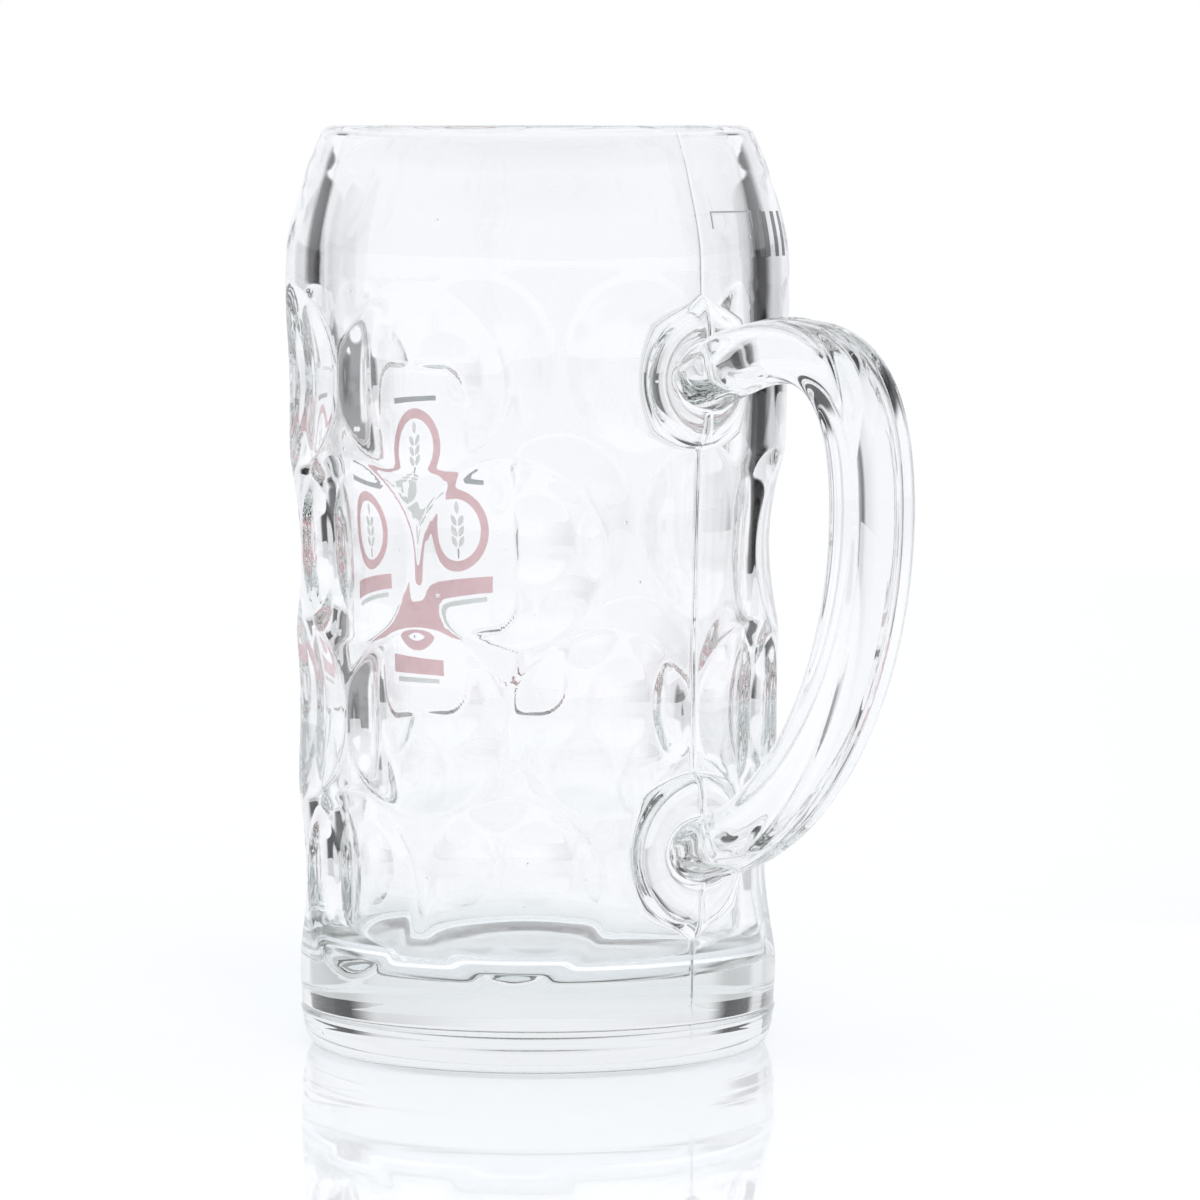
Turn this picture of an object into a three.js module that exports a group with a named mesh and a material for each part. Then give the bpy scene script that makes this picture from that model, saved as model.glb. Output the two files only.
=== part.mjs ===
// Dimpled glass beer mug that holds one litre: a heavy body with rows of round dimples and a smooth
// panel, a solid handle stuck on hot at two flared roots, and marks of fired enamel.
// Millimetres, +Z up, origin at the centre of the base, handle towards +X, panel towards -X.
import * as THREE from 'three';
import { mergeVertices } from 'three/addons/utils/BufferGeometryUtils.js';

// Body, outside: radii of the ridges between the dimples
const MUG_HEIGHT = 196;
const BASE_FLAT_RADIUS = 47.2;
const HEEL_RADIUS = 50.5;
const HEEL_HEIGHT = 8;
const FOOT_RADIUS = 50.9;
const FOOT_HEIGHT = 17;
const WAIST_RADIUS = 51.5;
const WAIST_HEIGHT = 90;
const SHOULDER_RADIUS = 53.5;
const SHOULDER_DROP = 28;
const NECK_RADIUS = 49.1;
const NECK_DROP = 9.4;
const LIP_RADIUS = 46.2;

// Body, inside
const LIP_THICKNESS = 5.6;
const WALL_THICKNESS = 7.4;
const FLOOR_THICKNESS = 17.6;
const FLOOR_FILLET = 10;

// Dimples: rows are counted down from the rim, every other row is turned by half a pitch
const DIMPLE_RADIUS = 18.6;
const DIMPLE_DEPTH = 4.1;
const DIMPLE_EDGE_SOFTNESS = 0.06;
const DIMPLES_PER_ROW = 8;
const TOP_ROW_DROP = 53;
const ROW_PITCH = 35;

// The wall stays plain around the roots: no dimple has its centre closer to one than this
const UPPER_PLAIN_RADIUS = 40;
const LOWER_PLAIN_RADIUS = 20;

// Handle: an oval bar on a centre line of two curves that meet at the grip
const HANDLE_REACH = 105.9;
const GRIP_DROP = 77;
const HANDLE_THICKNESS = 14.4;
const HANDLE_WIDTH = 18.6;
const UPPER_ROOT_DROP = 52;
const UPPER_ROOT_RISE_ANGLE = 20;
const UPPER_ROOT_PULL = 34;
const GRIP_PULL_UP = 35;
const GRIP_PULL_DOWN = 40;
const LOWER_ROOT_HEIGHT = 45.6;
const LOWER_ROOT_RISE_ANGLE = 6;
const LOWER_ROOT_PULL = 28;

// Flared roots of the handle
const UPPER_FLARE_WIDTH = 27;
const UPPER_FLARE_HEIGHT = 28.4;
const LOWER_FLARE_WIDTH = 29.6;
const LOWER_FLARE_HEIGHT = 32.4;
const FLARE_LENGTH = 13;
const FLARE_EDGE_THICKNESS = 1.4;
const FLARE_BLEND = 5;
const ROOT_CLEARANCE = 0.3;

// Enamel layers
const ENAMEL_THICKNESS = 0.4;
const ENAMEL_CLEARANCE = 0.3;

// Smooth panel and its print, stacked from top to bottom around a ring
const PANEL_CENTRE_DROP = 88.5;
const PANEL_SIDE_MARGIN = 12;
const PANEL_END_MARGIN = 11.2;
const PANEL_CORNER_RADIUS = 12;
const PANEL_BLEND = 3;
const RING_BAND = 4.2;
const RING_MARGIN = 1.1;
const TOP_BAR_LENGTH = 30;
const TOP_BAR_WIDTH = 2.2;
const TOP_BAR_SPACING = 2.8;
const BAND_LENGTH = 36;
const BAND_WIDTH = 7;
const BAND_SPACING = 3;
const FOOT_BAR_LENGTH = 30;
const FOOT_BAR_WIDTH = 2;
const FOOT_BAR_SPACING = 1.6;

// Ear of grain inside the ring
const GRAIN_LENGTH = 5.2;
const GRAIN_WIDTH = 2.6;
const GRAIN_PAIRS = 3;
const GRAIN_TILT_ANGLE = 32;
const GRAIN_SPACING = 0.5;
const STEM_WIDTH = 0.9;
const STEM_LENGTH = 4;

// Fill mark and volume bars under the rim
const FILL_MARK_DROP = 18;
const FILL_MARK_ANGLE = 12;
const FILL_MARK_LENGTH = 13;
const FILL_MARK_LEG = 3.4;
const FILL_MARK_LINE = 0.5;
const VOLUME_BARS = 3;
const VOLUME_BAR_ANGLE = 31.5;
const VOLUME_BAR_HEIGHT = 9.4;
const VOLUME_BAR_WIDTH = 0.9;
const VOLUME_BAR_PITCH = 5.2;

// Facets
const BODY_COLUMNS = 64;
const WALL_STEPS = 48;
const HEEL_STEPS = 3;
const LIP_STEPS = 6;
const INNER_STEPS = 9;
const FILLET_STEPS = 4;
const HANDLE_SIDES = 24;
const GRIP_STEPS = 24;
const FLARE_STEPS = 5;
const ROOT_CAP_STEPS = 3;
const RING_SIDES = 48;
const GRAIN_SIDES = 12;
const ENAMEL_STEP = 3;

const { clamp, degToRad, lerp, smoothstep } = THREE.MathUtils;
const FULL_TURN = 2 * Math.PI;
const PANEL_ANGLE = Math.PI;

const lipHalf = LIP_THICKNESS / 2;
const lipHeight = MUG_HEIGHT - lipHalf;
const shoulderHeight = MUG_HEIGHT - SHOULDER_DROP;
const topRowHeight = MUG_HEIGHT - TOP_ROW_DROP;
const panelCentreHeight = MUG_HEIGHT - PANEL_CENTRE_DROP;

// Ear of grain, from the foot of its stem to the tip: leaning grains lie as close as the spacing lets them
const grainTilt = degToRad(GRAIN_TILT_ANGLE);
const grainReach = Math.hypot(GRAIN_WIDTH * Math.cos(grainTilt), GRAIN_LENGTH * Math.sin(grainTilt)) / 2;
const grainRise = Math.hypot(GRAIN_LENGTH * Math.cos(grainTilt), GRAIN_WIDTH * Math.sin(grainTilt)) / 2;
const grainPitch = GRAIN_SPACING
  + 1 / Math.hypot(Math.cos(grainTilt) / GRAIN_LENGTH, Math.sin(grainTilt) / GRAIN_WIDTH);
const pairsHeight = (GRAIN_PAIRS - 1) * grainPitch + 2 * grainRise;
const earHeight = STEM_LENGTH + GRAIN_SPACING + pairsHeight + GRAIN_SPACING + GRAIN_LENGTH;
const ringInnerRadius = earHeight / 2 + RING_MARGIN;
const ringRadius = ringInnerRadius + RING_BAND;

// Heights of the printed stack, with the stack centred on the panel
const stackHeight = TOP_BAR_WIDTH + TOP_BAR_SPACING + 2 * ringRadius + BAND_SPACING + BAND_WIDTH
  + FOOT_BAR_SPACING + FOOT_BAR_WIDTH;
const stackTop = panelCentreHeight + stackHeight / 2;
const topBarHeight = stackTop - TOP_BAR_WIDTH / 2;
const ringHeight = stackTop - TOP_BAR_WIDTH - TOP_BAR_SPACING - ringRadius;
const bandHeight = ringHeight - ringRadius - BAND_SPACING - BAND_WIDTH / 2;
const footBarHeight = bandHeight - BAND_WIDTH / 2 - FOOT_BAR_SPACING - FOOT_BAR_WIDTH / 2;
const panelHalfWidth = Math.max(BAND_LENGTH / 2, ringRadius) + PANEL_SIDE_MARGIN;
const panelHalfHeight = stackHeight / 2 + PANEL_END_MARGIN;

// The two roots, with half sizes of the flare that sits on the body
const upperRoot = {
  height: MUG_HEIGHT - UPPER_ROOT_DROP,
  halfWidth: UPPER_FLARE_WIDTH / 2,
  halfHeight: UPPER_FLARE_HEIGHT / 2,
  plainRadius: UPPER_PLAIN_RADIUS,
  up: 1,
};
const lowerRoot = {
  height: LOWER_ROOT_HEIGHT,
  halfWidth: LOWER_FLARE_WIDTH / 2,
  halfHeight: LOWER_FLARE_HEIGHT / 2,
  plainRadius: LOWER_PLAIN_RADIUS,
  up: -1,
};

// Smooth curve of radius over height, with each slope taken from the two neighbours
function radiusThrough(stations) {
  const last = stations.length - 1;
  const slopeAt = (i) => {
    const before = stations[Math.max(i - 1, 0)];
    const after = stations[Math.min(i + 1, last)];
    return (after.radius - before.radius) / (after.height - before.height);
  };
  return (height) => {
    let i = 0;
    while (i < last - 1 && height > stations[i + 1].height) {
      i += 1;
    }
    const span = stations[i + 1].height - stations[i].height;
    const t = clamp((height - stations[i].height) / span, 0, 1);
    const rise = t * t * (3 - 2 * t);
    const leave = t * (1 - t) * (1 - t) * span * slopeAt(i);
    const arrive = t * t * (t - 1) * span * slopeAt(i + 1);
    return lerp(stations[i].radius, stations[i + 1].radius, rise) + leave + arrive;
  };
}

const ridgeRadius = radiusThrough([
  { height: HEEL_HEIGHT, radius: HEEL_RADIUS },
  { height: FOOT_HEIGHT, radius: FOOT_RADIUS },
  { height: WAIST_HEIGHT, radius: WAIST_RADIUS },
  { height: shoulderHeight, radius: SHOULDER_RADIUS },
  { height: MUG_HEIGHT - NECK_DROP, radius: NECK_RADIUS },
  { height: lipHeight, radius: LIP_RADIUS },
]);

function innerRadius(height) {
  const towardsLip = smoothstep(height, shoulderHeight, lipHeight);
  return ridgeRadius(height) - lerp(WALL_THICKNESS, LIP_THICKNESS, towardsLip);
}

function turnBetween(angle, centre) {
  const turn = (angle - centre) % FULL_TURN;
  if (turn > Math.PI) {
    return turn - FULL_TURN;
  }
  return turn < -Math.PI ? turn + FULL_TURN : turn;
}

// How far a point of the body lies from the middle of a root, as a share of the flare
function rootShare(root, angle, height) {
  const across = turnBetween(angle, 0) * ridgeRadius(root.height);
  return Math.hypot(across / root.halfWidth, (height - root.height) / root.halfHeight);
}

// 0 under a flare, 1 clear of it
function clearOfRoot(root, angle, height) {
  const blendShare = FLARE_BLEND / root.halfWidth;
  return smoothstep(rootShare(root, angle, height), 1, 1 + blendShare);
}

// 0 on the smooth panel, 1 clear of it
function clearOfPanel(angle, height) {
  const across = Math.abs(turnBetween(angle, PANEL_ANGLE)) * ridgeRadius(panelCentreHeight);
  const outX = Math.max(across - panelHalfWidth + PANEL_CORNER_RADIUS, 0);
  const outZ = Math.max(Math.abs(height - panelCentreHeight) - panelHalfHeight + PANEL_CORNER_RADIUS, 0);
  return smoothstep(Math.hypot(outX, outZ) - PANEL_CORNER_RADIUS, 0, PANEL_BLEND);
}

// Whether a dimple at this centre would lie in the plain wall around a root
function isBesideRoot(root, angle, height) {
  const across = turnBetween(angle, 0) * ridgeRadius(height);
  return Math.hypot(across, height - root.height) < root.plainRadius;
}

// Centres of all dimples, without those in the plain wall around the roots
function dimpleCentres() {
  const lowest = FOOT_HEIGHT + DIMPLE_RADIUS;
  const pitchAngle = FULL_TURN / DIMPLES_PER_ROW;
  const centres = [];
  for (let height = topRowHeight, row = 0; height >= lowest; height -= ROW_PITCH, row += 1) {
    const firstAngle = row % 2 === 0 ? pitchAngle / 2 : 0;
    for (let i = 0; i < DIMPLES_PER_ROW; i += 1) {
      const angle = firstAngle + i * pitchAngle;
      const leftOut = [upperRoot, lowerRoot].some((root) => isBesideRoot(root, angle, height));
      if (!leftOut) {
        centres.push({ angle, height });
      }
    }
  }
  return centres;
}

const dimples = dimpleCentres();

// Depth of the dimples at a point of the body: round bowls with a softened edge
function dimpleDepth(angle, height) {
  let depth = 0;
  for (const dimple of dimples) {
    const across = turnBetween(angle, dimple.angle) * ridgeRadius(dimple.height);
    const share = Math.hypot(across, height - dimple.height) / DIMPLE_RADIUS;
    const bowl = 1 - share * share;
    const softBowl = (bowl + Math.hypot(bowl, DIMPLE_EDGE_SOFTNESS)) / 2;
    depth = Math.max(depth, DIMPLE_DEPTH * softBowl);
  }
  const aboveFoot = smoothstep(height, HEEL_HEIGHT, FOOT_HEIGHT);
  const belowNeck = 1 - smoothstep(height, shoulderHeight, MUG_HEIGHT - NECK_DROP);
  const clear = clearOfPanel(angle, height) * clearOfRoot(upperRoot, angle, height)
    * clearOfRoot(lowerRoot, angle, height);
  return depth * aboveFoot * belowNeck * clear;
}

// A point outside the body's surface by the given clearance
function bodyPoint(angle, height, clearance) {
  const radius = ridgeRadius(height) - dimpleDepth(angle, height) + clearance;
  return new THREE.Vector3(radius * Math.cos(angle), radius * Math.sin(angle), height);
}

// Half section of the body, from the middle of the base round to the middle of the floor
function bodySection() {
  const section = [new THREE.Vector2(0, 0)];
  for (let i = 0; i <= HEEL_STEPS; i += 1) {
    const turn = (i / HEEL_STEPS) * (Math.PI / 2);
    const radius = lerp(BASE_FLAT_RADIUS, HEEL_RADIUS, Math.sin(turn));
    section.push(new THREE.Vector2(radius, HEEL_HEIGHT * (1 - Math.cos(turn))));
  }
  for (let i = 1; i <= WALL_STEPS; i += 1) {
    const height = lerp(HEEL_HEIGHT, lipHeight, i / WALL_STEPS);
    section.push(new THREE.Vector2(ridgeRadius(height), height));
  }
  for (let i = 1; i < LIP_STEPS; i += 1) {
    const turn = (i / LIP_STEPS) * Math.PI;
    const radius = LIP_RADIUS - lipHalf + lipHalf * Math.cos(turn);
    section.push(new THREE.Vector2(radius, lipHeight + lipHalf * Math.sin(turn)));
  }
  const filletHeight = FLOOR_THICKNESS + FLOOR_FILLET;
  for (let i = 0; i <= INNER_STEPS; i += 1) {
    const height = lerp(lipHeight, filletHeight, i / INNER_STEPS);
    section.push(new THREE.Vector2(innerRadius(height), height));
  }
  const filletCentre = innerRadius(filletHeight) - FLOOR_FILLET;
  for (let i = 1; i <= FILLET_STEPS; i += 1) {
    const turn = (i / FILLET_STEPS) * (Math.PI / 2);
    const radius = filletCentre + FLOOR_FILLET * Math.cos(turn);
    section.push(new THREE.Vector2(radius, filletHeight - FLOOR_FILLET * Math.sin(turn)));
  }
  section.push(new THREE.Vector2(0, FLOOR_THICKNESS));
  return section;
}

// The section turned about Z, with the dimples pressed into its outer wall
function bodyGeometry() {
  const section = bodySection();
  const geometry = new THREE.LatheGeometry(section, BODY_COLUMNS).rotateX(Math.PI / 2);
  geometry.deleteAttribute('normal');
  geometry.deleteAttribute('uv');
  const position = geometry.getAttribute('position');
  const firstWallRing = 1 + HEEL_STEPS;
  for (let column = 0; column <= BODY_COLUMNS; column += 1) {
    for (let ring = firstWallRing; ring <= firstWallRing + WALL_STEPS; ring += 1) {
      const index = column * section.length + ring;
      const angle = Math.atan2(position.getY(index), position.getX(index));
      const point = bodyPoint(angle, position.getZ(index), 0);
      position.setXYZ(index, point.x, point.y, point.z);
    }
  }
  return mergeVertices(geometry);
}

// Closed skin over loops of equally many points: two poles close its ends, or it closes on itself
function skinOver(loops, poles = []) {
  const sides = loops[0].length;
  const points = [...loops.flat(), ...poles];
  const faces = [];
  const bandCount = poles.length ? loops.length - 1 : loops.length;
  for (let band = 0; band < bandCount; band += 1) {
    const from = band * sides;
    const to = ((band + 1) % loops.length) * sides;
    for (let i = 0; i < sides; i += 1) {
      const next = (i + 1) % sides;
      faces.push(from + i, to + next, from + next);
      faces.push(from + i, to + i, to + next);
    }
  }
  if (poles.length) {
    const lastLoop = (loops.length - 1) * sides;
    const firstPole = loops.length * sides;
    for (let i = 0; i < sides; i += 1) {
      const next = (i + 1) % sides;
      faces.push(firstPole, i, next);
      faces.push(firstPole + 1, lastLoop + next, lastLoop + i);
    }
  }
  const geometry = new THREE.BufferGeometry().setFromPoints(points);
  geometry.setIndex(faces);
  return geometry;
}

// Centre line of the handle, from the upper root over the grip to the lower root
function handleLine() {
  const inPlane = (x, z) => new THREE.Vector3(x, 0, z);
  const offset = (point, angle, pull) => point.clone().add(
    inPlane(pull * Math.cos(degToRad(angle)), pull * Math.sin(degToRad(angle))),
  );
  const top = inPlane(ridgeRadius(upperRoot.height), upperRoot.height);
  const bottom = inPlane(ridgeRadius(lowerRoot.height), lowerRoot.height);
  const grip = inPlane(HANDLE_REACH, MUG_HEIGHT - GRIP_DROP);
  const line = new THREE.CurvePath();
  line.add(new THREE.CubicBezierCurve3(
    top,
    offset(top, UPPER_ROOT_RISE_ANGLE, UPPER_ROOT_PULL),
    offset(grip, 90, GRIP_PULL_UP),
    grip,
  ));
  line.add(new THREE.CubicBezierCurve3(
    grip,
    offset(grip, -90, GRIP_PULL_DOWN),
    offset(bottom, LOWER_ROOT_RISE_ANGLE, LOWER_ROOT_PULL),
    bottom,
  ));
  return line;
}

const handleTurns = Array.from({ length: HANDLE_SIDES }, (_, i) => (i / HANDLE_SIDES) * FULL_TURN);

// Oval section of the handle at a share of its length
function handleLoop(line, share) {
  const centre = line.getPointAt(share);
  const tangent = line.getTangentAt(share);
  const outward = new THREE.Vector3(-tangent.z, 0, tangent.x);
  const sideways = new THREE.Vector3(0, 1, 0);
  return handleTurns.map((turn) => centre.clone()
    .addScaledVector(outward, (HANDLE_THICKNESS / 2) * Math.cos(turn))
    .addScaledVector(sideways, (HANDLE_WIDTH / 2) * Math.sin(turn)));
}

// Oval loop on the body around a root, with the given half sizes
function rootLoop(root, halfWidth, halfHeight, clearance) {
  return handleTurns.map((turn) => {
    const height = root.height + root.up * halfHeight * Math.cos(turn);
    const angle = (halfWidth * Math.sin(turn)) / ridgeRadius(root.height);
    return bodyPoint(angle, height, clearance);
  });
}

// Loops from the middle of a root's seat on the body, round its edge and up the flare to the bar
function flareLoops(root, barLoop) {
  const loops = [];
  for (let i = 1; i <= ROOT_CAP_STEPS; i += 1) {
    const share = i / ROOT_CAP_STEPS;
    loops.push(rootLoop(root, share * root.halfWidth, share * root.halfHeight, ROOT_CLEARANCE));
  }
  const edgeClearance = ROOT_CLEARANCE + FLARE_EDGE_THICKNESS;
  const edge = rootLoop(root, root.halfWidth, root.halfHeight, edgeClearance);
  const corner = rootLoop(root, HANDLE_WIDTH / 2, HANDLE_THICKNESS / 2, edgeClearance);
  const rails = edge.map((point, i) => new THREE.QuadraticBezierCurve3(point, corner[i], barLoop[i]));
  for (let i = 0; i < FLARE_STEPS; i += 1) {
    loops.push(rails.map((rail) => rail.getPoint(i / FLARE_STEPS)));
  }
  return loops;
}

function handleGeometry() {
  const line = handleLine();
  const flareShare = FLARE_LENGTH / line.getLength();
  const barLoops = [];
  for (let i = 0; i <= GRIP_STEPS; i += 1) {
    barLoops.push(handleLoop(line, lerp(flareShare, 1 - flareShare, i / GRIP_STEPS)));
  }
  const upperLoops = flareLoops(upperRoot, barLoops[0]);
  const lowerLoops = flareLoops(lowerRoot, barLoops[GRIP_STEPS]).reverse();
  const poles = [upperRoot, lowerRoot].map((root) => bodyPoint(0, root.height, ROOT_CLEARANCE));
  return skinOver([...upperLoops, ...barLoops, ...lowerLoops], poles);
}

// Places a point of an enamel layer: across and up on the body, under or over the layer
function enamelPoint(centreAngle, across, height, over) {
  const angle = centreAngle + across / ridgeRadius(height);
  return bodyPoint(angle, height, ENAMEL_CLEARANCE + (over ? ENAMEL_THICKNESS : 0));
}

// Enamel line along corner points given as [across, height], with even width and mitred corners
function enamelLine(centreAngle, corners, width) {
  const corner = corners.map(([across, height]) => new THREE.Vector2(across, height));
  const direction = corner.slice(1).map((end, i) => end.clone().sub(corner[i]).normalize());
  const loops = [];
  const addLoop = (point, side) => {
    const left = point.clone().addScaledVector(side, width / 2);
    const right = point.clone().addScaledVector(side, -width / 2);
    loops.push([
      enamelPoint(centreAngle, left.x, left.y, false),
      enamelPoint(centreAngle, right.x, right.y, false),
      enamelPoint(centreAngle, right.x, right.y, true),
      enamelPoint(centreAngle, left.x, left.y, true),
    ]);
  };
  const sideOf = (along) => new THREE.Vector2(-along.y, along.x);
  direction.forEach((along, i) => {
    const before = direction[Math.max(i - 1, 0)];
    const miter = sideOf(before).add(sideOf(along)).divideScalar(1 + before.dot(along));
    addLoop(corner[i], miter);
    const steps = Math.ceil(corner[i].distanceTo(corner[i + 1]) / ENAMEL_STEP);
    for (let k = 1; k < steps; k += 1) {
      addLoop(corner[i].clone().lerp(corner[i + 1], k / steps), sideOf(along));
    }
  });
  addLoop(corner[corner.length - 1], sideOf(direction[direction.length - 1]));
  const middleOf = (loop) => loop[0].clone().lerp(loop[2], 0.5);
  return skinOver(loops, [middleOf(loops[0]), middleOf(loops[loops.length - 1])]);
}

// Lying enamel bar around a middle point
function enamelBar(centreAngle, across, height, length, width) {
  const ends = [[across - length / 2, height], [across + length / 2, height]];
  return enamelLine(centreAngle, ends, width);
}

// Oval loop of an enamel layer, turned by a tilt
function enamelLoop(middle, halfWidth, halfHeight, tilt, sides, over) {
  return Array.from({ length: sides }, (_, i) => {
    const turn = (i / sides) * FULL_TURN;
    const local = new THREE.Vector2(halfWidth * Math.cos(turn), halfHeight * Math.sin(turn));
    local.rotateAround(new THREE.Vector2(), tilt);
    return enamelPoint(PANEL_ANGLE, middle.x + local.x, middle.y + local.y, over);
  });
}

function enamelRing() {
  const middle = new THREE.Vector2(0, ringHeight);
  const loop = (radius, over) => enamelLoop(middle, radius, radius, 0, RING_SIDES, over);
  return skinOver([
    loop(ringInnerRadius, false),
    loop(ringInnerRadius, true),
    loop(ringRadius, true),
    loop(ringRadius, false),
  ]);
}

function enamelGrain(middle, tilt) {
  const loop = (share, over) => enamelLoop(
    middle, share * (GRAIN_WIDTH / 2), share * (GRAIN_LENGTH / 2), tilt, GRAIN_SIDES, over,
  );
  const poles = [true, false].map((over) => enamelPoint(PANEL_ANGLE, middle.x, middle.y, over));
  return skinOver([loop(0.5, true), loop(1, true), loop(1, false), loop(0.5, false)], poles);
}

const glass = { color: 0xe4efec, roughness: 0.04, metalness: 0, transparent: true, opacity: 0.4 };
const redEnamel = { color: 0xb3202c, roughness: 0.35, metalness: 0 };
const greyEnamel = { color: 0x9aa09f, roughness: 0.4, metalness: 0 };
const darkEnamel = { color: 0x2b2f31, roughness: 0.45, metalness: 0 };

const mug = new THREE.Group();

function addPiece(name, geometry, finish) {
  const piece = new THREE.Mesh(geometry, new THREE.MeshStandardMaterial(finish));
  piece.name = name;
  mug.add(piece);
}

addPiece('body', bodyGeometry(), glass);
addPiece('handle', handleGeometry(), glass);

// Fill mark: a line with a leg down at each end
const fillHeight = MUG_HEIGHT - FILL_MARK_DROP;
const fillHalf = FILL_MARK_LENGTH / 2;
const fillCorners = [
  [-fillHalf, fillHeight - FILL_MARK_LEG],
  [-fillHalf, fillHeight],
  [fillHalf, fillHeight],
  [fillHalf, fillHeight - FILL_MARK_LEG],
];
addPiece('fill_mark', enamelLine(degToRad(FILL_MARK_ANGLE), fillCorners, FILL_MARK_LINE), darkEnamel);

// Volume bars: upright strokes whose tops line up with the fill mark
for (let i = 0; i < VOLUME_BARS; i += 1) {
  const across = (i - (VOLUME_BARS - 1) / 2) * VOLUME_BAR_PITCH;
  const stroke = [[across, fillHeight - VOLUME_BAR_HEIGHT], [across, fillHeight]];
  const bar = enamelLine(degToRad(VOLUME_BAR_ANGLE), stroke, VOLUME_BAR_WIDTH);
  addPiece(`volume_bar_${i + 1}`, bar, darkEnamel);
}

addPiece('print_ring', enamelRing(), redEnamel);
addPiece('print_top_bar', enamelBar(PANEL_ANGLE, 0, topBarHeight, TOP_BAR_LENGTH, TOP_BAR_WIDTH), darkEnamel);
addPiece('print_band', enamelBar(PANEL_ANGLE, 0, bandHeight, BAND_LENGTH, BAND_WIDTH), redEnamel);
addPiece('print_foot_bar', enamelBar(PANEL_ANGLE, 0, footBarHeight, FOOT_BAR_LENGTH, FOOT_BAR_WIDTH), greyEnamel);

// Ear of grain: a stem, leaning pairs and one upright grain at the tip
const earFoot = ringHeight - earHeight / 2;
const stemTop = earFoot + STEM_LENGTH;
const firstPairHeight = stemTop + GRAIN_SPACING + grainRise;
const tipHeight = earFoot + earHeight - GRAIN_LENGTH / 2;
const grainAcross = grainReach + GRAIN_SPACING / 2;
addPiece('print_stem', enamelLine(PANEL_ANGLE, [[0, earFoot], [0, stemTop]], STEM_WIDTH), darkEnamel);
for (let i = 0; i < GRAIN_PAIRS; i += 1) {
  const height = firstPairHeight + i * grainPitch;
  const left = new THREE.Vector2(-grainAcross, height);
  const right = new THREE.Vector2(grainAcross, height);
  addPiece(`print_grain_left_${i + 1}`, enamelGrain(left, grainTilt), greyEnamel);
  addPiece(`print_grain_right_${i + 1}`, enamelGrain(right, -grainTilt), greyEnamel);
}
addPiece('print_grain_tip', enamelGrain(new THREE.Vector2(0, tipHeight), 0), greyEnamel);

export default mug;
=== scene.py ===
"""A dimpled one-litre beer mug in clear glass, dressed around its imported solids.

The body and the handle are fused into one skin of glass, because the real ones are stuck together
hot. A Geometry Nodes tree presses the dimples into that skin. The enamel print and the fill marks
are thin layers that straddle the skin, so the glass has no air gap in front of them.
Lengths are in metres and angles in radians, +Z is up and the handle points along +X.
"""

import math

import bpy
import numpy as np
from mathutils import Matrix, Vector


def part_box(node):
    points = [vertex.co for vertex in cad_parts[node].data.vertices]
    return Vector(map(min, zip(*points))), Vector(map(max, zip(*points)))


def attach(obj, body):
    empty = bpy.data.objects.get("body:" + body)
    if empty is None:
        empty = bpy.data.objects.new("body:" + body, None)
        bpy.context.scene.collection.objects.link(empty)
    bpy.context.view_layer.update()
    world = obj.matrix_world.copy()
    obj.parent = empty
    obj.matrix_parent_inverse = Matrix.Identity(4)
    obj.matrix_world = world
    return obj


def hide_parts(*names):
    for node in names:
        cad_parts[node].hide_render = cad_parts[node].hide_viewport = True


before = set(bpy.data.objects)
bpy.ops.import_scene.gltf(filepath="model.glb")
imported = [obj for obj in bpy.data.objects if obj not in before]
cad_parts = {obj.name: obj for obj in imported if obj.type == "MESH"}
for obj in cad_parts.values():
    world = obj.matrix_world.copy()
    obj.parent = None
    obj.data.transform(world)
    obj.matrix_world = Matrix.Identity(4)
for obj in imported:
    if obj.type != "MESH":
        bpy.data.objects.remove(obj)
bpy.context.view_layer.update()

bl_info = {
    "name": "Dimpled Beer Mug",
    "version": (1, 0, 0),
    "blender": (4, 5, 0),
    "location": "View3D > Sidebar > Mug",
    "description": "Builds a dimpled glass beer mug with enamel print on a pale studio floor",
    "category": "Add Mesh",
}

MM = 0.001
TURN = 2 * math.pi
BODY_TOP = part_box("body")[1].z
HANDLE_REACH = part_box("handle")[1].x

# Fineness of the glass skin
COLUMNS = 258
WALL_ROWS = 190
BASE_RINGS = 9
HEEL_RINGS = 9
LIP_RINGS = 14
INSIDE_RINGS = 52
FILLET_RINGS = 9
FLOOR_RINGS = 6
ROOT_COLUMNS = 16
ROOT_ROWS = 20
ROOT_BLEND_RINGS = 4
ROOT_EDGE_RINGS = 7
FLARE_RINGS = 16
GRIP_RINGS = 38
CURVE_SAMPLES = 400
# Extra rings over the heel's edge
EDGE_RINGS = 12
EDGE_SPAN = 2.4 * MM
# How far to each side of the mould seam the extra columns lie, as shares of its width
SEAM_COLUMNS = (0.4, 0.8, 1.3, 2.3)
# Shares of the mould seam's height at the heel and over the handle's upper root
SEAM_AT_HEEL = 0.35
SEAM_OVER_ROOT = 0.3
# Where the plain wall starts and ends to give way to dimples, as shares of a left-out one
LEFT_OUT_INSIDE = 1.0
LEFT_OUT_OUTSIDE = 1.06
# Share of the underside's hollow that is level, around its centre
LEVEL_SHARE = 0.35

# The dark side cloths, in degrees off the middle of the background: a grey fade, then black
FADE_START = 4
RIGHT_START = 29
LEFT_START = 32
CLOTH_FULL = 40
RIGHT_END = 64
LEFT_END = 82
CLOTH_EDGE = 2.5
RIGHT_FADE = 0.22
LEFT_FADE = 0.12
# Between these angles a cloth's foot comes closer to the mug, and again for its last stretch
FOOT_TURN = (47, 56)
LAST_TURN = (64, 68)
# Between these angles a cloth thins by this share
THIN_TURN = (58, 66)
THIN_SHARE = 0.32
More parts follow.
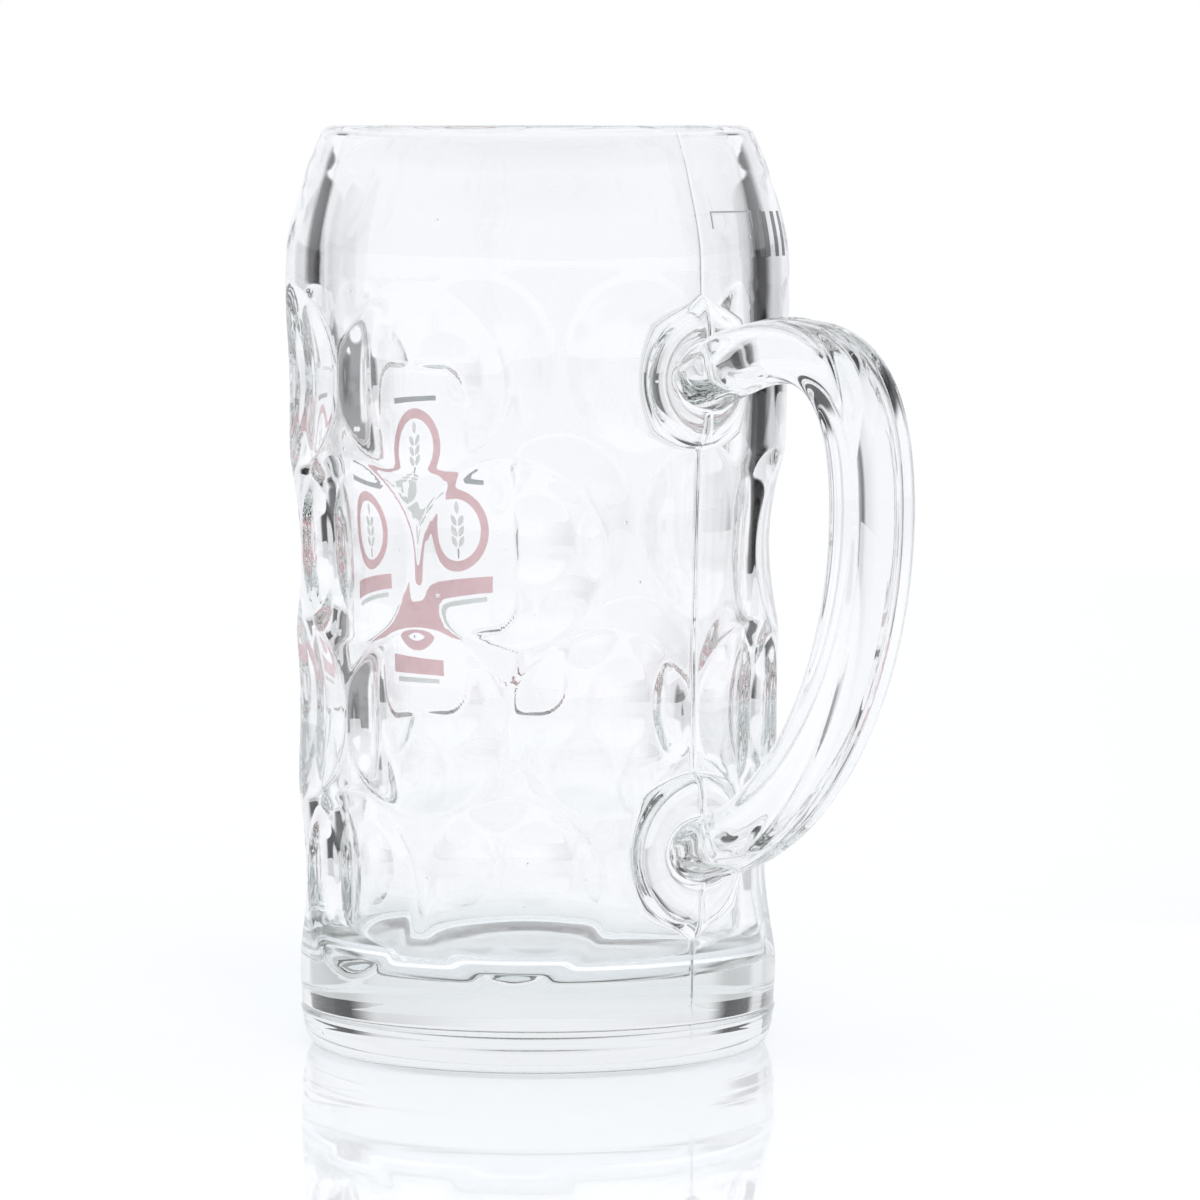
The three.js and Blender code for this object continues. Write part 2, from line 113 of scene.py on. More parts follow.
# The left cloth hangs in two lengths with a bright gap between them
GAP_OPENS = (49.5, 53)
GAP_CLOSES = (57, 61)
GAP_LIGHT = 0.75
CLOTH_COLUMNS = 81
CLOTH_ROWS = 25
CLOTH_TONES = (0.012, 0.02)

# The room dims between these angles over the horizon, in degrees
SKY_DIMS = (26, 38)
# The soft lamp: its spread in degrees and the way towards it
LAMP_SPREAD = 40
LAMP_WAY = (0.8, -0.45, 0.95)
SENSOR_WIDTH = 36.0
MOST_BOUNCES = 32
MOST_REFLECTIONS = 24
WHITE = (1.0, 1.0, 1.0, 1.0)

# The glass: its bend of light, its shadow, its skin's coarser share, its scuffed foot and its seeds
GLASS_IOR = 1.52
SHADOW_TINT = (0.93, 0.955, 0.95, 1.0)
PEEL_SHARE = 0.8
SCUFF_HEIGHTS = (2.4 * MM, 0.8 * MM)
SCUFF_ROUGHNESS = 0.4
SEED_EDGE = (0.02, 0.045)
SEED_LIMIT = 0.55

# The enamel: its pale and deep spots, its pinholes, its gloss and each one's place in the pattern
PALE_GAIN = 1.18
PALE_LIFT = 0.03
DEEP_GAIN = 0.86
PORE_EDGE = (0.08, 0.2)
CLOUD_SPAN = (0.3, 0.7)
ENAMEL_ROUGHNESS = (0.24, 0.4)
ENAMEL_IOR = 1.5
ENAMEL_SHIFTS = {
    "red_enamel": 0.11,
    "grey_enamel": 0.23,
    "dark_enamel": 0.37,
    "mark_enamel": 0.53,
    "bar_enamel": 0.71,
}
# How much slimmer a grain of the ear gets towards its points
GRAIN_SLIMMING = 0.45

# The floor: its tones, its glow where it is seen, a painted pool of light under the mug that only
# shows through the glass, its glow by the camera, and its polish
FLOOR_TONES = (0.60, 0.62)
GLOW_COLOUR = (0.88, 0.92, 1.0, 1.0)
SEEN_GLOW = 0.40
PAINTED_POOL_GLOW = 0.06
PAINTED_POOL_SPAN = (35 * MM, 70 * MM)
CAMERA_GLOW = 0.11
FLOOR_ROUGHNESS = 0.02
FLOOR_IOR = 1.4
MOST_MIRROR = 0.42

# Fineness of the enamel layers
LAYER_STEP = 1.4 * MM
RING_SEGMENTS = 96
RING_STEPS = 4


def length(name, description, default):
    """A length that the user can change, in metres."""
    return bpy.props.FloatProperty(
        name=name, description=description, default=default, precision=5, unit="LENGTH")


def share(name, description, default):
    """A plain number that the user can change."""
    return bpy.props.FloatProperty(name=name, description=description, default=default, precision=4)


def angle(name, description, degrees):
    """An angle that the user can change, kept in radians."""
    return bpy.props.FloatProperty(
        name=name, description=description, default=math.radians(degrees), subtype="ANGLE")


def count(name, description, default):
    """A whole number that the user can change."""
    return bpy.props.IntProperty(name=name, description=description, default=default, min=1)


def colour(name, description, default):
    """A linear colour that the user can change."""
    return bpy.props.FloatVectorProperty(
        name=name, description=description, default=default, size=3, min=0, max=1, subtype="COLOR")


class MugBodySettings(bpy.types.PropertyGroup):
    """Sizes of the glass vessel and the tint of its glass."""

    height: length("Height", "From the table to the top of the lip", BODY_TOP)
    base_radius: length("Base Radius", "Radius of the face it stands on", 47.2 * MM)
    heel_radius: length("Heel Radius", "Radius at the top of the rounded heel", 50.5 * MM)
    heel_height: length("Heel Height", "Height of the rounded heel", 8 * MM)
    foot_radius: length("Foot Radius", "Radius of the plain band over the heel", 50.9 * MM)
    foot_height: length("Foot Height", "Height where the dimples start", 17 * MM)
    waist_radius: length("Waist Radius", "Radius half way up", 51.5 * MM)
    waist_height: length("Waist Height", "Height of the waist", 90 * MM)
    shoulder_radius: length("Shoulder Radius", "Widest radius, under the lip", 53.5 * MM)
    shoulder_drop: length("Shoulder Drop", "Shoulder below the top", 28 * MM)
    neck_radius: length("Neck Radius", "Radius where the wall turns in to the lip", 49.1 * MM)
    neck_drop: length("Neck Drop", "Neck below the top", 9.4 * MM)
    lip_radius: length("Lip Radius", "Outer radius of the lip", 46.2 * MM)
    lip_thickness: length("Lip Thickness", "Thickness of the round lip", 5.6 * MM)
    wall_thickness: length("Wall Thickness", "Wall between outside and inside", 7.4 * MM)
    floor_thickness: length("Floor Thickness", "Glass under the beer", 17.6 * MM)
    floor_fillet: length("Floor Fillet", "Radius between floor and wall", 10 * MM)
    push_up: length("Push-up", "Hollow of the underside at its centre", 1.3 * MM)
    push_up_radius: length("Push-up Radius", "Radius of that hollow", 41 * MM)
    seam_height: length("Seam Height", "Mould seam above the glass", 0.5 * MM)
    seam_width: length("Seam Width", "Half width of the mould seam", 0.3 * MM)
    heel_seam: length("Heel Seam", "Ridge where the mould's base plate met its sides", 0.3 * MM)
    heel_seam_width: length("Heel Seam Width", "Half width of that ridge", 0.55 * MM)
    tint: colour("Tint", "Colour that thick glass takes on", (0.935, 0.945, 0.938))
    tint_density: share("Tint Density", "Absorption per metre", 20.0)


class MugDimpleSettings(bpy.types.PropertyGroup):
    """The rows of round dimples and the glass's slow waves."""

    radius: length("Radius", "Radius of a dimple", 19.3 * MM)
    depth: length("Depth", "Depth of a dimple", 4.1 * MM)
    top_row_drop: length("Top Row Drop", "Centres of the top row below the top", 53 * MM)
    row_pitch: length("Row Pitch", "From row to row", 35 * MM)
    rows: count("Rows", "Number of rows", 4)
    per_row: count("Per Row", "Dimples in a row", 8)
    softness: share("Softness", "Rounding of the ridges between dimples", 0.045)
    inner_share: share("Inner Share", "How much of a dimple shows on the inside", 0.04)
    wave_height: length("Wave Height", "Height of the glass's slow waves", 0.045 * MM)
    wave_scale: share("Wave Scale", "Waves per metre", 38.0)


class MugHandleSettings(bpy.types.PropertyGroup):
    """The bow handle and the flares of its two roots."""

    thickness: length("Thickness", "Bar thickness in the bow's plane", 12.6 * MM)
    width: length("Width", "Bar width across the bow's plane", 16.4 * MM)
    squareness: share("Squareness", "2 for an oval bar, more for flatter faces", 3.8)
    grip_drop: length("Grip Drop", "Outermost point below the top", 77 * MM)
    grip_pull_up: length("Grip Pull Up", "Curve handle above the grip", 35 * MM)
    grip_pull_down: length("Grip Pull Down", "Curve handle below the grip", 40 * MM)
    upper_drop: length("Upper Root Drop", "Upper root below the top", 52 * MM)
    upper_rise: angle("Upper Root Rise", "Slope of the bar at its upper root", 20)
    upper_pull: length("Upper Root Pull", "Curve handle at the upper root", 34 * MM)
    upper_flare_width: length("Upper Flare Width", "Width of the upper flare", 27 * MM)
    upper_flare_height: length("Upper Flare Height", "Height of the upper flare", 28.4 * MM)
    lower_height: length("Lower Root Height", "Height of the lower root", 45.6 * MM)
    lower_rise: angle("Lower Root Rise", "Slope of the bar at its lower root", 6)
    lower_pull: length("Lower Root Pull", "Curve handle at the lower root", 28 * MM)
    lower_flare_width: length("Lower Flare Width", "Width of the lower flare", 29.6 * MM)
    lower_flare_height: length("Lower Flare Height", "Height of the lower flare", 32.4 * MM)
    upper_plain: length("Upper Plain Radius", "No dimple is centred closer to the root", 40 * MM)
    lower_plain: length("Lower Plain Radius", "No dimple is centred closer to the root", 20 * MM)
    flare_length: length("Flare Length", "From the body to the plain bar", 13 * MM)
    flare_edge: length("Flare Edge", "Thickness of a flare inside its rounded rim", 3.0 * MM)
    flare_round: length("Flare Round", "Width of a flare's rounded rim", 5.2 * MM)
    flare_fillet: share("Flare Fillet", "How tightly a flare turns up to the bar", 3.6)
    flare_blend: length("Flare Blend", "Plain glass around a flare", 5 * MM)
    flare_point: length("Flare Point", "How far a flare runs out along the seam", 2.6 * MM)
    flare_point_width: angle("Flare Point Width", "Half width of that point", 11)


class MugPrintSettings(bpy.types.PropertyGroup):
    """The enamel layers: their thickness, lines and colours."""

    under: length("Under", "Depth of a layer below the glass's skin", 0.05 * MM)
    over: length("Over", "Height of a layer over the glass's skin", 0.07 * MM)
    panel_margin: length("Panel Margin", "Plain glass around the print", 12 * MM)
    panel_corner: length("Panel Corner", "Corner radius of the plain panel", 12 * MM)
    panel_blend: length("Panel Blend", "Fading of the dimples at the panel", 1.8 * MM)
    ring_band: length("Ring Band", "Width of the print's round band", 4.2 * MM)
    grain_length: length("Grain Length", "Length of a grain in the ear", 5.2 * MM)
    grain_width: length("Grain Width", "Width of a grain in the ear", 2.6 * MM)
    grain_tilt: angle("Grain Tilt", "Lean of a grain from the stem", 32)
    mark_line: length("Mark Line", "Line width of the fill mark", 0.35 * MM)
    red: colour("Red", "Red enamel", (0.52, 0.06, 0.08))
    grey: colour("Grey", "Grey enamel", (0.42, 0.44, 0.44))
    dark: colour("Dark", "Dark enamel", (0.12, 0.125, 0.13))
    mark: colour("Mark", "Worn grey enamel of the fill mark", (0.30, 0.31, 0.33))
    # The glass sides' paler copies of the inks are painted backlight, standing in for light shining
    # through the thin enamel
    red_painted_backlight: colour("Red Painted Backlight", "Red enamel seen through the glass", (1.0, 0.58, 0.62))
    grey_painted_backlight: colour("Grey Painted Backlight", "Grey enamel seen through the glass", (0.92, 0.95, 0.94))
    dark_painted_backlight: colour("Dark Painted Backlight", "Dark enamel seen through the glass", (0.42, 0.44, 0.45))


class MugStageSettings(bpy.types.PropertyGroup):
    """Camera, light and floor."""

    camera_azimuth: angle("Camera Azimuth", "Where the camera stands, from -Y towards +X", 51)
    camera_distance: length("Camera Distance", "From the mug's axis, level", 1.3)
    camera_height: length("Camera Height", "Over the table, about lip level", 0.196)
    aim_right: length("Aim Right", "Point aimed at, to the right of the axis", 13.3 * MM)
    aim_height: length("Aim Height", "Point aimed at, over the table", 94.8 * MM)
    lens: share("Lens", "Focal length in millimetres on a 36 mm sensor", 183.0)
    floor_size: length("Floor Size", "Side of the floor", 14.0)
    cloth_far_foot: length("Cloth Foot", "From the mug's axis to the side cloths", 1.4)
    cloth_near_foot: length("Cloth Near Foot", "The same at their outer ends", 0.6)
    cloth_reach: length("Cloth Reach", "From the mug's axis to the cloths' far ends", 6.0)
    cloth_rise: angle("Cloth Rise", "Slope of the cloths away from the mug", 6.4)
    cloth_last_foot: length("Cloth Last Foot", "The same at the left cloth's last stretch", 0.42)
    cloth_last_rise: angle("Cloth Last Rise", "Slope of the left cloth's last stretch", 10.5)
    sky_low: share("Low Sky", "Brightness of the room near the horizon", 1.03)
    sky_high: share("High Sky", "Brightness of the room overhead", 0.04)
    room_tint: colour("Room Tint", "Cool cast of the room in the glass", (0.96, 0.963, 1.0))
    room_light: share("Room Light", "Light that the room gives to surfaces", 0.6)
    lamp_power: share("Lamp Power", "Strength of the soft lamp", 2.4)


def smooth_step(value, low, high):
    """0 below low, 1 above high, with a smooth rise between."""
    part = np.clip((value - low) / (high - low), 0, 1)
    return part * part * (3 - 2 * part)


def curve_through(stations):
    """A smooth radius over height through (height, radius) stations, low to high."""
    heights, radii = (np.array(row, dtype=float) for row in zip(*stations))
    slopes = np.empty_like(radii)
    slopes[1:-1] = (radii[2:] - radii[:-2]) / (heights[2:] - heights[:-2])
    slopes[0] = (radii[1] - radii[0]) / (heights[1] - heights[0])
    slopes[-1] = (radii[-1] - radii[-2]) / (heights[-1] - heights[-2])

    def radius(height):
        low = np.clip(np.searchsorted(heights, height, side="right") - 1, 0, len(heights) - 2)
        span = heights[low + 1] - heights[low]
        part = np.clip((height - heights[low]) / span, 0, 1)
        blend = part * part * (3 - 2 * part)
        bend_low = part * (1 - part) ** 2 * span * slopes[low]
        bend_high = part * part * (part - 1) * span * slopes[low + 1]
        return radii[low] + (radii[low + 1] - radii[low]) * blend + bend_low + bend_high

    return radius


class Root:
    """One end of the handle: where it meets the body and the outline of its flare.

    up is 1 where the bar's outer side faces up, as at the upper root, and -1 at the lower one.
    No dimple has its centre closer to the root than the plain radius.
    """

    def __init__(self, height, width, tall, up, rise, plain_radius):
        self.height = height
        self.half_width = width / 2
        self.half_height = tall / 2
        self.up = up
        self.rise = rise
        self.plain_radius = plain_radius

    def outline(self, around, inset, point, point_width):
        """Arc and height of the flare's outline at the angles around the bar."""
        reach = self.half_height - inset + point * np.exp(-((around / point_width) ** 2))
        arc = (self.half_width - inset) * np.sin(around)
        tall = np.where(np.cos(around) > 0, reach, self.half_height - inset) * np.cos(around)
        return arc, self.height + self.up * tall

    def nearness(self, arc, height):
        """1 on the flare's outline, less inside and more outside."""
        return np.hypot(arc / self.half_width, (height - self.height) / self.half_height)


class MugShape:
    """The mug's curves and fields, worked out from the settings."""

    def __init__(self, scene):
        body = scene.mug_body
        handle = scene.mug_handle
        self.body = body
        self.handle = handle
        self.dimples = scene.mug_dimples
        self.print = scene.mug_print
        self.shoulder_height = body.height - body.shoulder_drop
        self.neck_height = body.height - body.neck_drop
        self.bead = body.lip_thickness / 2
        self.bead_height = body.height - self.bead
        self.bead_radius = body.lip_radius - self.bead
        inward = body.neck_radius - self.bead_radius
        upward = self.bead_height - self.neck_height
        self.lean = math.atan2(inward, upward) - math.asin(self.bead / math.hypot(inward, upward))
        self.lip_height = self.bead_height + self.bead * math.sin(self.lean)
        self.lip_inside = self.bead_height - self.bead * math.sin(self.lean)
        self.ridge_radius = curve_through((
            (body.heel_height, body.heel_radius),
            (body.foot_height, body.foot_radius),
            (body.waist_height, body.waist_radius),
            (self.shoulder_height, body.shoulder_radius),
            (self.neck_height, body.neck_radius),
            (self.lip_height, self.bead_radius + self.bead * math.cos(self.lean)),
        ))
        self.upper = Root(
            body.height - handle.upper_drop, handle.upper_flare_width, handle.upper_flare_height,
            1, handle.upper_rise, handle.upper_plain)
        self.lower = Root(
            handle.lower_height, handle.lower_flare_width, handle.lower_flare_height,
            -1, handle.lower_rise, handle.lower_plain)
        self.measure_panel()

    def measure_panel(self):
        """Centre and half sizes of the plain panel, which frames the print's outermost layers."""
        names = [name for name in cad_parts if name.startswith("print_")]
        lows, highs = zip(*(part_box(name) for name in names))
        low = min(corner.z for corner in lows)
        high = max(corner.z for corner in highs)
        wide = max(corner.y for corner in highs)
        margin = self.print.panel_margin
        self.panel_height = (low + high) / 2
        radius = float(self.ridge_radius(self.panel_height))
        self.panel_half_width = radius * math.asin(wide / radius) + margin
        self.panel_half_height = (high - low) / 2 + margin

    def inner_radius(self, height):
        """Radius of the hollow."""
        body = self.body
        thinning = smooth_step(height, self.shoulder_height, self.lip_inside)
        lip_wall = body.lip_thickness / math.cos(self.lean)
        wall = body.wall_thickness + (lip_wall - body.wall_thickness) * thinning
        return self.ridge_radius(height) - wall

    def clear_of_roots(self, around, height):
        """0 under a flare, 1 where the glass around it is free of it."""
        arc = around * self.ridge_radius(height)
        clear = np.ones_like(arc)
        for root in (self.upper, self.lower):
            edge = 1 + self.handle.flare_blend / root.half_width
            clear = clear * smooth_step(root.nearness(arc, height), 1, edge)
        return clear

    def clear_of_panel(self, around, height):
        """0 on the plain panel opposite the handle, 1 away from it."""
        arc = (math.pi - np.abs(around)) * self.ridge_radius(height)
        corner = self.print.panel_corner
        side = np.maximum(arc - (self.panel_half_width - corner), 0)
        tall = np.maximum(np.abs(height - self.panel_height) - (self.panel_half_height - corner), 0)
        return smooth_step(np.hypot(side, tall) - corner, 0, self.print.panel_blend)

    def clear_of_plain(self, around, height):
        """0 on a dimple whose centre lies in the plain wall around a root, since it is left out."""
        dimples = self.dimples
        pitch = TURN / dimples.per_row
        clear = np.ones_like(around * height)
        for row in range(dimples.rows):
            centre = self.body.height - dimples.top_row_drop - row * dimples.row_pitch
            turns = (0.0,) if row % 2 == 1 else (-pitch / 2, pitch / 2)
            for root in (self.upper, self.lower):
                for turn in turns:
                    side = turn * float(self.ridge_radius(centre))
                    if math.hypot(side, centre - root.height) < root.plain_radius:
                        arc = (around - turn) * self.ridge_radius(height)
                        away = np.hypot(arc, height - centre) / dimples.radius
                        clear = clear * smooth_step(away, LEFT_OUT_INSIDE, LEFT_OUT_OUTSIDE)
        return clear

    def press_weight(self, around, height):
        """How much of a dimple's depth the outside takes."""
        body = self.body
        weight = smooth_step(height, body.heel_height, body.foot_height)
        weight = weight * (1 - smooth_step(height, self.shoulder_height, self.neck_height))
        weight = weight * self.clear_of_panel(around, height) * self.clear_of_roots(around, height)
        return weight * self.clear_of_plain(around, height)

    def seam(self, arc):
        """Height of the mould seam at a distance from its line."""
        return self.body.seam_height * np.exp(-((arc / self.body.seam_width) ** 2))

    def seam_share(self, height):
        """How much of the mould seam shows: less at the heel and over the upper root."""
        body, root = self.body, self.upper
        rise = smooth_step(height, body.heel_height, body.foot_height)
        heel = SEAM_AT_HEEL + (1 - SEAM_AT_HEEL) * rise
        over = smooth_step(height, root.height, root.height + root.half_height)
        return heel * (1 - (1 - SEAM_OVER_ROOT) * over)

    def on_body(self, arc, height, lift=0.0):
        """Points over the outside at an arc from the handle's plane, lifted off it."""
        radius = self.ridge_radius(height)
        around = arc / radius
        return np.stack([
            (radius + lift) * np.cos(around),
            (radius + lift) * np.sin(around),
            height + np.zeros_like(around),
        ], axis=-1)

    def bow(self):
        """Centre line of the handle as two cubic curves, from the upper root to the lower one."""
        body, handle = self.body, self.handle
        reach = HANDLE_REACH - handle.thickness / 2 - body.seam_height - self.dimples.wave_height
        grip = np.array([reach, body.height - handle.grip_drop])
        ends = []
        for root in (self.upper, self.lower):
            ends.append(np.array([float(self.ridge_radius(root.height)), root.height]))
        top, bottom = ends
        out_top = np.array([math.cos(handle.upper_rise), math.sin(handle.upper_rise)])
        out_bottom = np.array([math.cos(handle.lower_rise), math.sin(handle.lower_rise)])
        upper = (
            top, top + handle.upper_pull * out_top,
            grip + np.array([0, handle.grip_pull_up]), grip)
        lower = (
            grip, grip - np.array([0, handle.grip_pull_down]),
            bottom + handle.lower_pull * out_bottom, bottom)
        return upper, lower


def cubic(points, part):
    """Point and direction on a cubic curve."""
    a, b, c, d = points
    rest = 1 - part
    place = rest ** 3 * a + 3 * rest ** 2 * part * b + 3 * rest * part ** 2 * c + part ** 3 * d
    way = rest ** 2 * (b - a) + 2 * rest * part * (c - b) + part ** 2 * (d - c)
    return place, way / np.linalg.norm(way)


class GlassSkin:
    """The closed skin of body and handle before its dimples are pressed.

    press says how much of a dimple each point takes, and wave how much of the glass's slow waves.
    """

    def __init__(self, shape):
        self.shape = shape
        self.points = []
        self.press = []
        self.wave = []
        self.faces = []
        self.size = 0
        self.around = self.column_angles()
        self.middle = len(self.around) // 2
        self.make_vessel()
        self.make_handle()
        self.drop_unused()

    def add(self, points, press=0.0, wave=0.0):
        """Adds points and gives their numbers."""
        points = np.asarray(points, dtype=float).reshape(-1, 3)
        first = self.size
        self.points.append(points)
        self.press.append(np.broadcast_to(press, len(points)))
        self.wave.append(np.broadcast_to(wave, len(points)))
        self.size += len(points)
        return np.arange(first, self.size)

    def join(self, ring, following, skipped=()):
        """Quads from one ring to the next one, on the left of the ring's direction."""
        for here in range(len(ring)):
            if here in skipped:
                continue
            after = (here + 1) % len(ring)
            self.faces.append((ring[here], ring[after], following[after], following[here]))

    def column_angles(self):
        """Angles of the columns from -pi up, finer beside the mould seam at 0."""
        even = -math.pi + TURN * np.arange(COLUMNS) / COLUMNS
        body = self.shape.body
        beside = np.array(SEAM_COLUMNS) * body.seam_width / body.waist_radius
        return np.sort(np.concatenate([even, beside, -beside]))

    def ring(self, radius, height, press=0.0, wave=0.0, seam=0.0):
        """A level ring of points, with the mould seam raised by its share."""
        raised = radius + seam * self.shape.seam(self.around * radius)
        points = np.stack([
            raised * np.cos(self.around),
            raised * np.sin(self.around),
            np.full_like(self.around, height),
        ], axis=-1)
        return self.add(points, press, wave)

    def base_profile(self):
        """Radius and height of the underside and the heel, from the axis out."""
        body = self.shape.body
        for radius in np.linspace(0, body.base_radius, BASE_RINGS + 1)[1:]:
            level = LEVEL_SHARE * body.push_up_radius
            hollow = 1 - smooth_step(radius, level, body.push_up_radius)
            yield radius, body.push_up * hollow
        for turn in np.linspace(0, math.pi / 2, HEEL_RINGS + 1)[1:-1]:
            out = (body.heel_radius - body.base_radius) * math.sin(turn)
            yield body.base_radius + out, body.heel_height * (1 - math.cos(turn))

    def make_vessel(self):
        """Rings from under the base, up the outside, over the lip and down to the floor."""
        shape = self.shape
        body = shape.body
        rings = [self.ring(radius, height) for radius, height in self.base_profile()]
        base_pole = self.add([(0, 0, body.push_up)])[0]
        edge_top = body.heel_height + EDGE_SPAN
        edge_heights = np.linspace(body.heel_height, edge_top, EDGE_RINGS + 1)[:-1]
        wall_heights = np.linspace(edge_top, shape.lip_height, WALL_ROWS + 1)
        self.heights = np.concatenate([edge_heights, wall_heights])
        self.first_wall_ring = len(rings)
        for height in self.heights:
            fade = 1 - smooth_step(height, shape.neck_height, shape.lip_height)
            rise = smooth_step(height, body.heel_height, body.foot_height)
            off = (height - body.heel_height) / body.heel_seam_width
            radius = float(shape.ridge_radius(height)) + body.heel_seam * math.exp(-(off ** 2))
            press = shape.press_weight(self.around, np.full_like(self.around, height))
            seam = shape.seam_share(height)
            rings.append(self.ring(radius, height, press, rise * fade, seam))
        for turn in shape.lean + np.linspace(0, math.pi, LIP_RINGS + 1)[1:-1]:
            seam = SEAM_OVER_ROOT * max(math.cos(turn), 0) ** 2
            radius = shape.bead_radius + shape.bead * math.cos(turn)
            rings.append(self.ring(radius, shape.bead_height + shape.bead * math.sin(turn), seam=seam))
        fillet_top = body.floor_thickness + body.floor_fillet
        for height in np.linspace(shape.lip_inside, fillet_top, INSIDE_RINGS + 1):
            fade = smooth_step(height, fillet_top, fillet_top + body.floor_fillet)
            fade = fade * (1 - smooth_step(height, shape.neck_height, shape.lip_inside))
            press = shape.dimples.inner_share * fade
            press = press * shape.press_weight(self.around, np.full_like(self.around, height))
            rings.append(self.ring(float(shape.inner_radius(height)), height, press, fade))
        corner = float(shape.inner_radius(fillet_top)) - body.floor_fillet
        for turn in np.linspace(0, math.pi / 2, FILLET_RINGS + 1)[1:]:
            radius = corner + body.floor_fillet * math.cos(turn)
            rings.append(self.ring(radius, fillet_top - body.floor_fillet * math.sin(turn)))
        for radius in np.linspace(corner, 0, FLOOR_RINGS + 1)[1:-1]:
            rings.append(self.ring(radius, body.floor_thickness))
        floor_pole = self.add([(0, 0, body.floor_thickness)])[0]
        self.rings = rings
        self.holes = [self.hole(root) for root in (shape.upper, shape.lower)]
        for low in range(len(rings) - 1):
            self.join_level(low)
        for here in range(len(self.around)):
            after = (here + 1) % len(self.around)
            self.faces.append((base_pole, rings[0][after], rings[0][here]))
            self.faces.append((rings[-1][here], rings[-1][after], floor_pole))

    def hole(self, root):
        """Rows and columns of the grid that make way for a root."""
        nearest = int(np.argmin(np.abs(self.heights - root.height)))
        row = self.first_wall_ring + nearest
        column = ROOT_COLUMNS + len(SEAM_COLUMNS)
        return row - ROOT_ROWS, row + ROOT_ROWS, self.middle - column, self.middle + column

    def join_level(self, low):
        """Quads between two level rings, leaving the roots' holes open."""
        skipped = set()
        for first_row, last_row, first, last in self.holes:
            if first_row <= low < last_row:
                skipped.update(range(first, last))
        self.join(self.rings[low], self.rings[low + 1], skipped)

    def hole_edge(self, root, hole):
        """The hole's outline, from its middle column round by way of +Y, as rows and columns."""
        first_row, last_row, first, last = hole
        near, far = (last_row, first_row) if root.up > 0 else (first_row, last_row)
        step = 1 if far > near else -1
        edge = [(near, column) for column in range(self.middle, last)]
        edge += [(row, last) for row in range(near, far, step)]
        edge += [(far, column) for column in range(last, first, -1)]
        edge += [(row, first) for row in range(far, near, -step)]
        edge += [(near, column) for column in range(first, self.middle)]
        return edge

    def root_rings(self, root, hole):
        """Rings from the hole's edge to the flare's rounded rim, and the angles of their points."""
        shape = self.shape
        handle = shape.handle
        edge = self.hole_edge(root, hole)
        outline = np.array([self.rings[row][column] for row, column in edge])
        rows = np.array([row - self.first_wall_ring for row, column in edge])
        columns = np.array([column for row, column in edge])
        tall = self.heights[rows]
        arc = self.around[columns] * shape.ridge_radius(tall)
        turn = np.arctan2(arc / root.half_width, root.up * (tall - root.height) / root.half_height)
        point = handle.flare_point
        wide = handle.flare_point_width
        rim_arc, rim_tall = root.outline(turn, 0.0, point, wide)
        rings = [outline]
        for part in np.linspace(0, 1, ROOT_BLEND_RINGS + 1)[1:]:
            here_arc = arc + (rim_arc - arc) * part
            here_tall = tall + (rim_tall - tall) * part
            press = shape.press_weight(here_arc / shape.ridge_radius(here_tall), here_tall)
            seam = shape.seam_share(here_tall) * shape.seam(here_arc)
            rings.append(self.add(shape.on_body(here_arc, here_tall, seam), press, 1 - part))
        for lean in np.linspace(0, math.pi / 2, ROOT_EDGE_RINGS + 1)[1:]:
            inset = handle.flare_round * (1 - math.cos(lean))
            here_arc, here_tall = root.outline(turn, inset, point * math.cos(lean), wide)
            seam = shape.seam_share(here_tall) * shape.seam(here_arc)
            lift = handle.flare_edge * math.sin(lean) + seam
            rings.append(self.add(shape.on_body(here_arc, here_tall, lift)))
        return rings, turn

    def bar_ring(self, place, way, turn):
        """Points around the bar at a place on its centre line."""
        handle = self.shape.handle
        outward = np.array([-way[1], 0, way[0]])
        centre = np.array([place[0], 0, place[1]])
        side = handle.width / 2 * self.squared(np.sin(turn))
        half = handle.thickness / 2 + self.shape.seam(side)
        rise = half * self.squared(np.cos(turn))
        return centre + np.outer(rise, outward) + np.outer(side, (0, 1, 0))

    def squared(self, wave):
        """A sine or cosine that lingers near its ends, which makes a round section squarer."""
        return np.sign(wave) * np.abs(wave) ** (2 / self.shape.handle.squareness)

    def flare_rings(self, root, turn, bar):
        """Rings that sweep from a flare's rim up to the plain bar."""
        shape = self.shape
        handle = shape.handle
        rim_arc, rim_tall = root.outline(turn, handle.flare_round, 0.0, handle.flare_point_width)
        seam = shape.seam_share(rim_tall) * shape.seam(rim_arc)
        start = shape.on_body(rim_arc, rim_tall, handle.flare_edge + seam)
        bar_arc = handle.width / 2 * np.sin(turn)
        bar_tall = root.up * handle.thickness / 2 * np.cos(turn) / math.cos(root.rise)
        knee = shape.on_body(bar_arc, root.height + bar_tall, handle.flare_edge)
        rings = []
        for part in np.linspace(0, 1, FLARE_RINGS + 1)[1:-1]:
            rest = 1 - part
            pull = 2 * rest * part * handle.flare_fillet
            total = rest ** 2 + pull + part ** 2
            rings.append((rest ** 2 * start + pull * knee + part ** 2 * bar) / total)
        return rings

